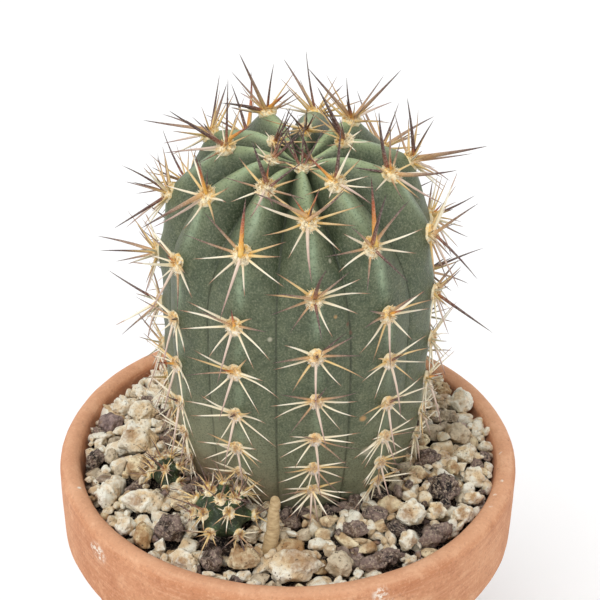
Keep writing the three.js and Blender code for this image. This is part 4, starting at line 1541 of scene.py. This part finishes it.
def make_large_stones(bed, looks):
    """The stones that the CAD has one by one, each on its node's own facets."""
    slots = {row["node"]: row["material_slot"] for row in frame["record"]["subparts"]}
    names = [name for name in slots if name.startswith("stone_")]
    for index, name in enumerate(names):
        centre, normals, distances = node_planes(name)
        tone = slots[name].removesuffix("_stone")
        reach = facet_reach(BALLS[4][0], normals, distances * LARGE_STONE_FILL, 20)
        rough, pores = (0.2, 70) if tone == "dark" else (0.14, 34)
        shape = Shape()
        add_large_stone(shape, centre, reach, index + 11, rough, (index * 0.382) % 1, pores)
        shape.piece(f"{name}_surface", looks[tone], slots[name], name)
        low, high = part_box(name)
        half = np.array([high[axis] - low[axis] for axis in range(3)]) / MM / 2
        bed.lay(*centre, half, 0.0)


# Smaller stones that can be told apart: (pixel u and v, width and height in pixels, tone).
SEEN_STONES = (
    (93, 435, 13, 9, "pale"), (99, 441, 14, 10, "pale"), (98, 472, 22, 12, "grey"),
    (117, 464, 15, 11, "pale"), (117, 482, 20, 18, "pale"), (139, 389, 18, 15, "pale"),
    (155, 392, 18, 15, "pale"), (122, 428, 15, 12, "pale"), (168, 405, 17, 13, "pale"),
    (166, 437, 20, 16, "dark"), (188, 543, 20, 20, "pale"), (154, 554, 15, 9, "pale"),
    (216, 576, 14, 9, "pale"), (243, 574, 15, 10, "pale"), (278, 581, 19, 9, "pale"),
    (259, 576, 20, 10, "grey"), (461, 391, 13, 15, "pale"), (481, 421, 22, 12, "pale"),
    (478, 430, 15, 11, "pale"), (484, 445, 15, 15, "pale"), (422, 450, 25, 13, "ochre"),
    (431, 429, 22, 18, "grey"), (429, 551, 20, 12, "ochre"), (316, 542, 17, 16, "pale"),
    (323, 531, 16, 12, "ochre"), (330, 548, 13, 13, "pale"), (370, 545, 19, 13, "ochre"),
    (391, 536, 12, 16, "pale"), (399, 528, 20, 19, "dark"), (375, 512, 26, 16, "dark"),
    (390, 502, 19, 24, "ochre"), (409, 493, 17, 12, "pale"), (425, 495, 14, 16, "pale"),
    (341, 523, 10, 17, "pale"), (330, 509, 20, 14, "dark"), (396, 482, 18, 14, "grey"),
    (405, 466, 20, 16, "grey"), (150, 415, 22, 18, "pale"), (168, 420, 16, 15, "grey"),
    (128, 402, 18, 14, "pale"), (140, 405, 16, 13, "pale"), (106, 477, 16, 12, "grey"),
    (345, 505, 18, 14, "dark"), (303, 533, 16, 14, "grey"), (292, 521, 16, 16, "dark"),
    (283, 534, 12, 12, "grey"), (425, 437, 12, 14, "ochre"), (443, 425, 14, 12, "grey"),
    (463, 437, 15, 12, "pale"), (460, 424, 15, 10, "grey"), (487, 433, 12, 9, "pale"),
    (489, 454, 11, 10, "grey"), (476, 462, 22, 12, "grey"), (468, 488, 18, 14, "pale"),
    (487, 485, 12, 18, "pale"), (455, 500, 13, 14, "pale"),
)

# Made-up stones: (how many, least and most size), and their half sides as shares of the size.
GRAVEL_SIZES = ((150, 2.6, 3.5), (260, 2.0, 2.7), (330, 1.5, 2.1), (520, 0.9, 1.5))
STONE_PROPORTIONS = ((1.0, 1.3), (0.75, 1.0), (0.62, 0.9))

# Shares of the tones, usually and at the stem's front foot, where more dark stones stand for dry litter
# together with painted shade of the stem.
USUAL_TONES = (0.75, 0.1, 0.1, 0.05)
LITTER_AND_SHADE_TONES = (0.2, 0.3, 0.12, 0.38)
LITTER_AND_SHADE_RADIUS = 38
LITTER_AND_SHADE_UNTIL_Y = 12
TRIES = 16
ROOM_OVER_GOAL = 1.0
GRAVEL_FROM = 26
FINE_LEVEL_FROM = 1.7
SEEN_OVER_GOAL = 2.5
SEEN_UNDER_GOAL = 1.2
SEEN_LIFT = -0.3
GRAVEL_SEED = 4021


def ground_point(u, v, lift):
    """Where a pixel's ray meets the stones' surface, and how many millimetres a pixel is there."""
    ray = pixel_ray(u, v)
    z = GRAVEL_AT_WALL + 2
    for _ in range(8):
        point = EYE + ray * ((z - EYE[2]) / ray[2])
        z = float(ground(point[0], point[1])) + lift
    return point, np.linalg.norm(point - EYE) / FOCAL_PIXELS


class Gravel:
    """The loose stones, in groups by tone and quarter, as they come to rest on the bed."""

    def __init__(self, bed):
        self.bed = bed
        self.random = np.random.default_rng(GRAVEL_SEED)
        self.groups = {(tone, quarter): Shape() for tone in TONES for quarter in QUARTERS}

    def put(self, x, y, z, half, turn, tone):
        random = self.random
        level = 3 if half[0] > FINE_LEVEL_FROM else 2
        wobble = np.degrees(random.normal(0, 0.18, 2))
        axes = turned("z", math.degrees(turn)) @ turned("x", wobble[0]) @ turned("y", wobble[1])
        reach = random_stone(random, level, random.uniform(0, 1))
        local = BALLS[level][0] * reach[:, None] * half
        seed = int(random.integers(1, 9999))
        group = self.groups[tone, QUARTERS[2 * (y > 0) + (x > 0)]]
        centre = np.array([x, y, z])
        add_small_stone(group, level, centre, local, axes.T, seed, tone, random.uniform())
        self.bed.lay(x, y, z, half, turn)

    def put_seen(self):
        for u, v, width, height, tone in SEEN_STONES:
            (x, y, _), scale = ground_point(u, v, SEEN_LIFT)
            long = width * scale / 2
            half = np.array([long, max(0.75 * long, height * scale / 2), 0.85 * height * scale / 2])
            z = self.bed.rest(x, y, half, 0.0)
            goal = ground(x, y)
            if z is None or z > goal + SEEN_OVER_GOAL:
                continue
            self.put(x, y, max(z, goal - SEEN_UNDER_GOAL), half, self.random.normal(0, 0.15), tone)

    def lowest_place(self, half, turn):
        """The place, of some drawn ones, where a stone's top is lowest over the goal."""
        places = []
        for _ in range(TRIES):
            angle = self.random.uniform(0, 2 * np.pi)
            radius = math.sqrt(self.random.uniform(GRAVEL_FROM**2, POT_INNER_AT_GRAVEL**2))
            x = radius * math.cos(angle)
            y = radius * math.sin(angle)
            if not self.bed.free(x, y, half[0]):
                continue
            z = self.bed.rest(x, y, half, turn)
            if z is not None:
                places.append((z + half[2] - float(ground(x, y)), x, y, z))
        return min(places, default=(math.inf, 0, 0, 0))

    def put_others(self):
        random = self.random
        for count, least, most in GRAVEL_SIZES:
            for _ in range(count):
                size = random.uniform(least, most)
                half = size * np.array([drawn(random, limits) for limits in STONE_PROPORTIONS])
                turn = random.uniform(0, np.pi)
                over, x, y, z = self.lowest_place(half, turn)
                if over > ROOM_OVER_GOAL:
                    continue
                # More dark stones at the stem's front foot: dry litter, and painted shade of the stem.
                in_litter_and_shade = math.hypot(x - STEM_X, y - STEM_Y) < LITTER_AND_SHADE_RADIUS and y < LITTER_AND_SHADE_UNTIL_Y
                tone = random.choice(TONES, p=LITTER_AND_SHADE_TONES if in_litter_and_shade else USUAL_TONES)
                self.put(x, y, z, half, turn, tone)


def make_gravel(bed, looks):
    gravel = Gravel(bed)
    gravel.put_seen()
    gravel.put_others()
    for (tone, quarter), shape in gravel.groups.items():
        shape.piece(f"gravel_{tone}_{quarter}", looks[tone], f"{tone}_stone", "gravel_bed")


FINES_COLUMNS = 360
FINES_RINGS = 60
FINES_INNER_RADIUS = 27
FINES_GAP = 0.8
FINES_LOW = GRAVEL_AT_WALL - 10.5


def make_fines(look):
    """The grit under the loose stones: a closed ring between the stem's foot and the pot's wall."""
    inner = circle(FINES_COLUMNS) * FINES_INNER_RADIUS + (STEM_X, STEM_Y)
    outer = circle(FINES_COLUMNS) * (POT_INNER_AT_GRAVEL - FINES_GAP)
    rings = []
    for share in np.linspace(1, 0, FINES_RINGS):
        flat = inner * (1 - share) + outer * share
        ring = np.column_stack([flat, ground(flat[:, 0], flat[:, 1]) - FINES_DEPTH])
        ring[:, 2] += 0.5 * noise(ring, 2.2, 3, 3)
        rings.append(ring)
    for flat in (inner, outer * 0.985):
        rings.append(np.column_stack([flat, np.full(FINES_COLUMNS, FINES_LOW)]))
    shape = Shape()
    faces = [ring_faces(len(rings), FINES_COLUMNS, closed=True)]
    # The grit darkened by its underside share and low relief: painted shade between the stones.
    shape.add(np.concatenate(rings), faces, tint=0.1, under=0.8, hollow=0.0, relief=0.3, rust=0.0)
    shape.piece("gravel_fines", look, "dark_stone", "gravel_bed")


# ---- pot ------------------------------------------------------------------------------------------

POT_HEIGHT = 115
RIM_RADIUS = 65
LIP_ROUND = 2.9
BAND_HEIGHT = 24
BAND_STEP = 3
FOOT_RADIUS = 43
FOOT_EDGE = 1.5
FLOOR_THICKNESS = 7
FLOOR_RADIUS = 37.2
DRAIN_RADIUS = 8
DRAIN_EDGE = 0.8
POT_COLUMNS = 288
OUTLINE_STEP = 1.6

# Lime marks: (pixel u and v, reach in millimetres).
LIME_MARKS = (
    (98, 552, 4.0), (92, 545, 1.6), (378, 594, 3.0), (502, 480, 0.9), (500, 454, 0.9), (495, 495, 0.7),
    (490, 507, 0.8), (79, 487, 0.8), (392, 600, 1.6),
)


def pot_outline():
    """The pot's section, with the runs between its corners cut into short steps."""
    band_foot = POT_HEIGHT - BAND_HEIGHT
    corners = [
        (DRAIN_RADIUS, DRAIN_EDGE),
        (DRAIN_RADIUS + DRAIN_EDGE, 0),
        (FOOT_RADIUS - FOOT_EDGE, 0),
        (FOOT_RADIUS, FOOT_EDGE),
        (RIM_RADIUS - BAND_STEP - 1, band_foot - 1.2),
        (RIM_RADIUS - BAND_STEP - 0.4, band_foot - 0.3),
        (RIM_RADIUS - 1.5, band_foot),
        (RIM_RADIUS - 0.45, band_foot + 0.45),
        (RIM_RADIUS, band_foot + 1.5),
    ]
    for degrees in range(0, 181, 12):
        turn = math.radians(degrees)
        radius = RIM_RADIUS - LIP_ROUND + LIP_ROUND * math.cos(turn)
        corners.append((radius, POT_HEIGHT - LIP_ROUND + LIP_ROUND * math.sin(turn)))
    corners += [
        (FLOOR_RADIUS + 2, FLOOR_THICKNESS + 3),
        (FLOOR_RADIUS, FLOOR_THICKNESS),
        (DRAIN_RADIUS + DRAIN_EDGE, FLOOR_THICKNESS),
        (DRAIN_RADIUS, FLOOR_THICKNESS - DRAIN_EDGE),
    ]
    fine = []
    for (r0, h0), (r1, h1) in zip(corners, corners[1:] + corners[:1]):
        steps = max(1, round(math.hypot(r1 - r0, h1 - h0) / OUTLINE_STEP))
        fine += [(r0 + (r1 - r0) * k / steps, h0 + (h1 - h0) * k / steps) for k in range(steps)]
    return fine


def pot_points():
    """The number of rings of the pot's surface, and their points, which are slightly uneven."""
    around = circle(POT_COLUMNS)
    level = np.zeros(POT_COLUMNS)
    rings = [np.column_stack([around * radius, level + height]) for radius, height in pot_outline()]
    points = np.concatenate(rings)
    away = np.tile(np.column_stack([around, level]), (len(rings), 1))
    uneven = 0.16 * noise(points, 17, 3, 2) + 0.05 * noise(points, 3, 9, 2) - 0.12
    return len(rings), points + away * uneven[:, None]


POT_RINGS, POT_POINTS = pot_points()
POT_PIXELS = pixels_of(POT_POINTS)
POT_AWAY = np.linalg.norm(POT_POINTS[:, :2], axis=1)
POT_BEHIND = (POT_POINTS[:, :2] @ (EYE - RIM_CENTRE)[:2] <= 0) & (POT_POINTS[:, 2] < POT_HEIGHT - 1.5)
POT_HIDDEN = POT_BEHIND | (POT_AWAY < RIM_RADIUS - 4.5)


def clay_look():
    look = Look("terracotta", Roughness=0.85)
    middle = look.noise(6, 5, 0.68, 5)
    fine = look.noise(0.8, 4, 0.7, 7)
    turning = look.noise(4, 4, 0.65, 9, look.stretched(0.2, 0.2, 4))
    pits = look.share(look.cells(3.2, 3), 0.1, 0.05)
    white = look.share(look.cells(6.5, 11), 0.07, 0.03)
    tone = look.layers(
        look.ramp(look.noise(30, 4, 0.6, 3), (0.3, (190, 124, 84)), (0.7, (218, 158, 118))),
        (middle, (0.48, 0.68), (0, 0.55), (230, 178, 140)),
        (middle, (0.46, 0.3), (0, 0.5), (170, 104, 68)),
        (turning, (0.5, 0.7), (0, 0.35), (232, 184, 148)),
        (turning, (0.46, 0.3), (0, 0.3), (166, 102, 70)),
        (fine, (0.52, 0.66), (0, 0.35), (238, 194, 158)),
        (fine, (0.46, 0.34), (0, 0.4), (148, 92, 62)),
        # The lip's top lighter: rubbed wear and a painted highlight.
        (look.value("edge"), (0, 1), (0, 0.35), (232, 184, 148)),
        # Painted shade: the inner wall darker.
        (look.value("inside"), (0, 1), (0, 0.35), (160, 102, 78)),
        # Painted shade in the small pits.
        (look.times(pits, 0.6), (120, 72, 52)),
        (look.times(white, 0.5), (238, 224, 206)),
    )
    streaks = look.share(look.noise(1.1, 3, 0.7, 21), 0.44, 0.56)
    for u, v, reach in LIME_MARKS:
        mark = look.near(seen_at(u, v, POT_POINTS, POT_PIXELS, POT_HIDDEN), reach)
        tone = look.mix(look.times(mark, streaks), tone, (240, 228, 212))
    rough = look.share(fine, 0.2, 0.8, 0.78, 0.95)
    return look.finish(tone, rough, (fine, 0.16), (turning, 0.3), (look.times(pits, -1), 0.3))


def make_pot():
    height = POT_POINTS[:, 2]
    # The lip's top, lighter from rubbed wear and a painted highlight.
    edge = smooth((height - POT_HEIGHT + 2.2) / 2) * smooth((RIM_RADIUS + 1 - POT_AWAY) / 3)
    rise = (height - FLOOR_THICKNESS) / (POT_HEIGHT - LIP_ROUND - FLOOR_THICKNESS)
    wall = FLOOR_RADIUS + (RIM_RADIUS - 2 * LIP_ROUND - FLOOR_RADIUS) * rise
    # The inner wall, for painted shade.
    inside = smooth((wall + 1.2 - POT_AWAY) / 1.2) * smooth((POT_HEIGHT - 0.5 - height) / 3)
    inside *= height > FLOOR_THICKNESS - 1
    shape = Shape()
    faces = [ring_faces(POT_RINGS, POT_COLUMNS, closed=True)]
    shape.add(POT_POINTS, faces, edge=edge, inside=inside)
    shape.piece("pot_clay", clay_look(), "terracotta", "terracotta_pot")


def dress_soil():
    look = Look("potting_mix", Roughness=0.95)
    crumbs = look.cells(2.4, 3)
    tone = look.layers(
        look.ramp(crumbs, (0.1, (92, 74, 58)), (0.6, (52, 40, 32))),
        (look.noise(1.2, 3, 0.6, 5), (0.55, 0.7), (0, 1), (140, 120, 96)),
    )
    material = look.finish(tone, None, (crumbs, 0.6))
    mesh = frame["nodes"]["potting_mix"].data
    mesh.materials.clear()
    mesh.materials.append(material)


# ---- floor and light, in metres -------------------------------------------------------------------

FLOOR_FLAT = 2.4
COVE_BEND = 0.9
COVE_HEIGHT = 1.9
COVE_COLUMNS = 96
FLOOR_GLOW = 0.27
SKY_STRENGTH = 0.62
KEY_STRENGTH = 1.5
KEY_SPREAD = 34
KEY_FROM = (-0.34, -0.5, 1.0)
WHITE = (1, 1, 1, 1)
PAPER_DARK = (220.585,) * 3
PAPER_LIGHT = (223.28,) * 3


def make_stage():
    """A round floor that bends up into a low wall."""
    look = Look("floor", Roughness=0.9, Emission_Strength=FLOOR_GLOW, Emission_Color=WHITE)
    material = look.finish(look.ramp(look.noise(3, 2, 0.5, 3), (0, PAPER_DARK), (1, PAPER_LIGHT)))
    bend = np.linspace(0, np.pi / 2, 13)
    radii = [FLOOR_FLAT / 3, FLOOR_FLAT * 2 / 3, *(FLOOR_FLAT + COVE_BEND * np.sin(bend))]
    radii.append(FLOOR_FLAT + COVE_BEND)
    heights = [0, 0, *(COVE_BEND * (1 - np.cos(bend))), COVE_HEIGHT]
    rings = []
    for radius, height in zip(radii[::-1], heights[::-1]):
        rings.append(np.column_stack([circle(COVE_COLUMNS) * radius, np.full(COVE_COLUMNS, height)]))
    points = np.concatenate([*rings, [[0, 0, 0]]])
    middle = fan_faces((len(rings) - 1) * COVE_COLUMNS, COVE_COLUMNS, len(points) - 1)
    faces = ring_faces(len(rings), COVE_COLUMNS).tolist() + middle.tolist()
    mesh = bpy.data.meshes.new("floor")
    mesh.from_pydata(points.tolist(), [], faces)
    mesh.polygons.foreach_set("use_smooth", np.ones(len(faces), bool))
    mesh.materials.append(material)
    floor = bpy.data.objects.new("floor", mesh)
    bpy.context.collection.objects.link(floor)


def make_light():
    world = bpy.data.worlds.new("studio")
    world.use_nodes = True
    sky = world.node_tree.nodes["Background"]
    sky.inputs["Color"].default_value = WHITE
    sky.inputs["Strength"].default_value = SKY_STRENGTH
    bpy.context.scene.world = world
    data = bpy.data.lights.new("soft_key", "SUN")
    data.angle = math.radians(KEY_SPREAD)
    data.energy = KEY_STRENGTH
    lamp = bpy.data.objects.new("soft_key", data)
    bpy.context.collection.objects.link(lamp)
    lamp.rotation_mode = "QUATERNION"
    lamp.rotation_quaternion = Vector(KEY_FROM).to_track_quat("Z", "Y")
    bpy.context.scene.view_settings.view_transform = "Standard"


# ---- the scene ------------------------------------------------------------------------------------

make_camera()
make_stage()
make_light()
make_pot()
dress_soil()
make_stem()
horn = spine_look()
felt = felt_look()
make_spine_rows(horn, felt)
make_offset("offset_large", LARGE_OFFSET, LARGE_AREOLES, LARGE_SPINES, LARGE_AREOLE_GAP,
            LARGE_SEED, horn, felt)
make_offset("offset_small", SMALL_OFFSET, SMALL_AREOLES, SMALL_SPINES, SMALL_AREOLE_GAP,
            SMALL_SEED, horn, felt)
make_twig()
stone_looks = {tone: stone_look(tone) for tone in TONES}
stone_bed = Bed()
make_large_stones(stone_bed, stone_looks)
make_gravel(stone_bed, stone_looks)
make_fines(stone_looks["dark"])
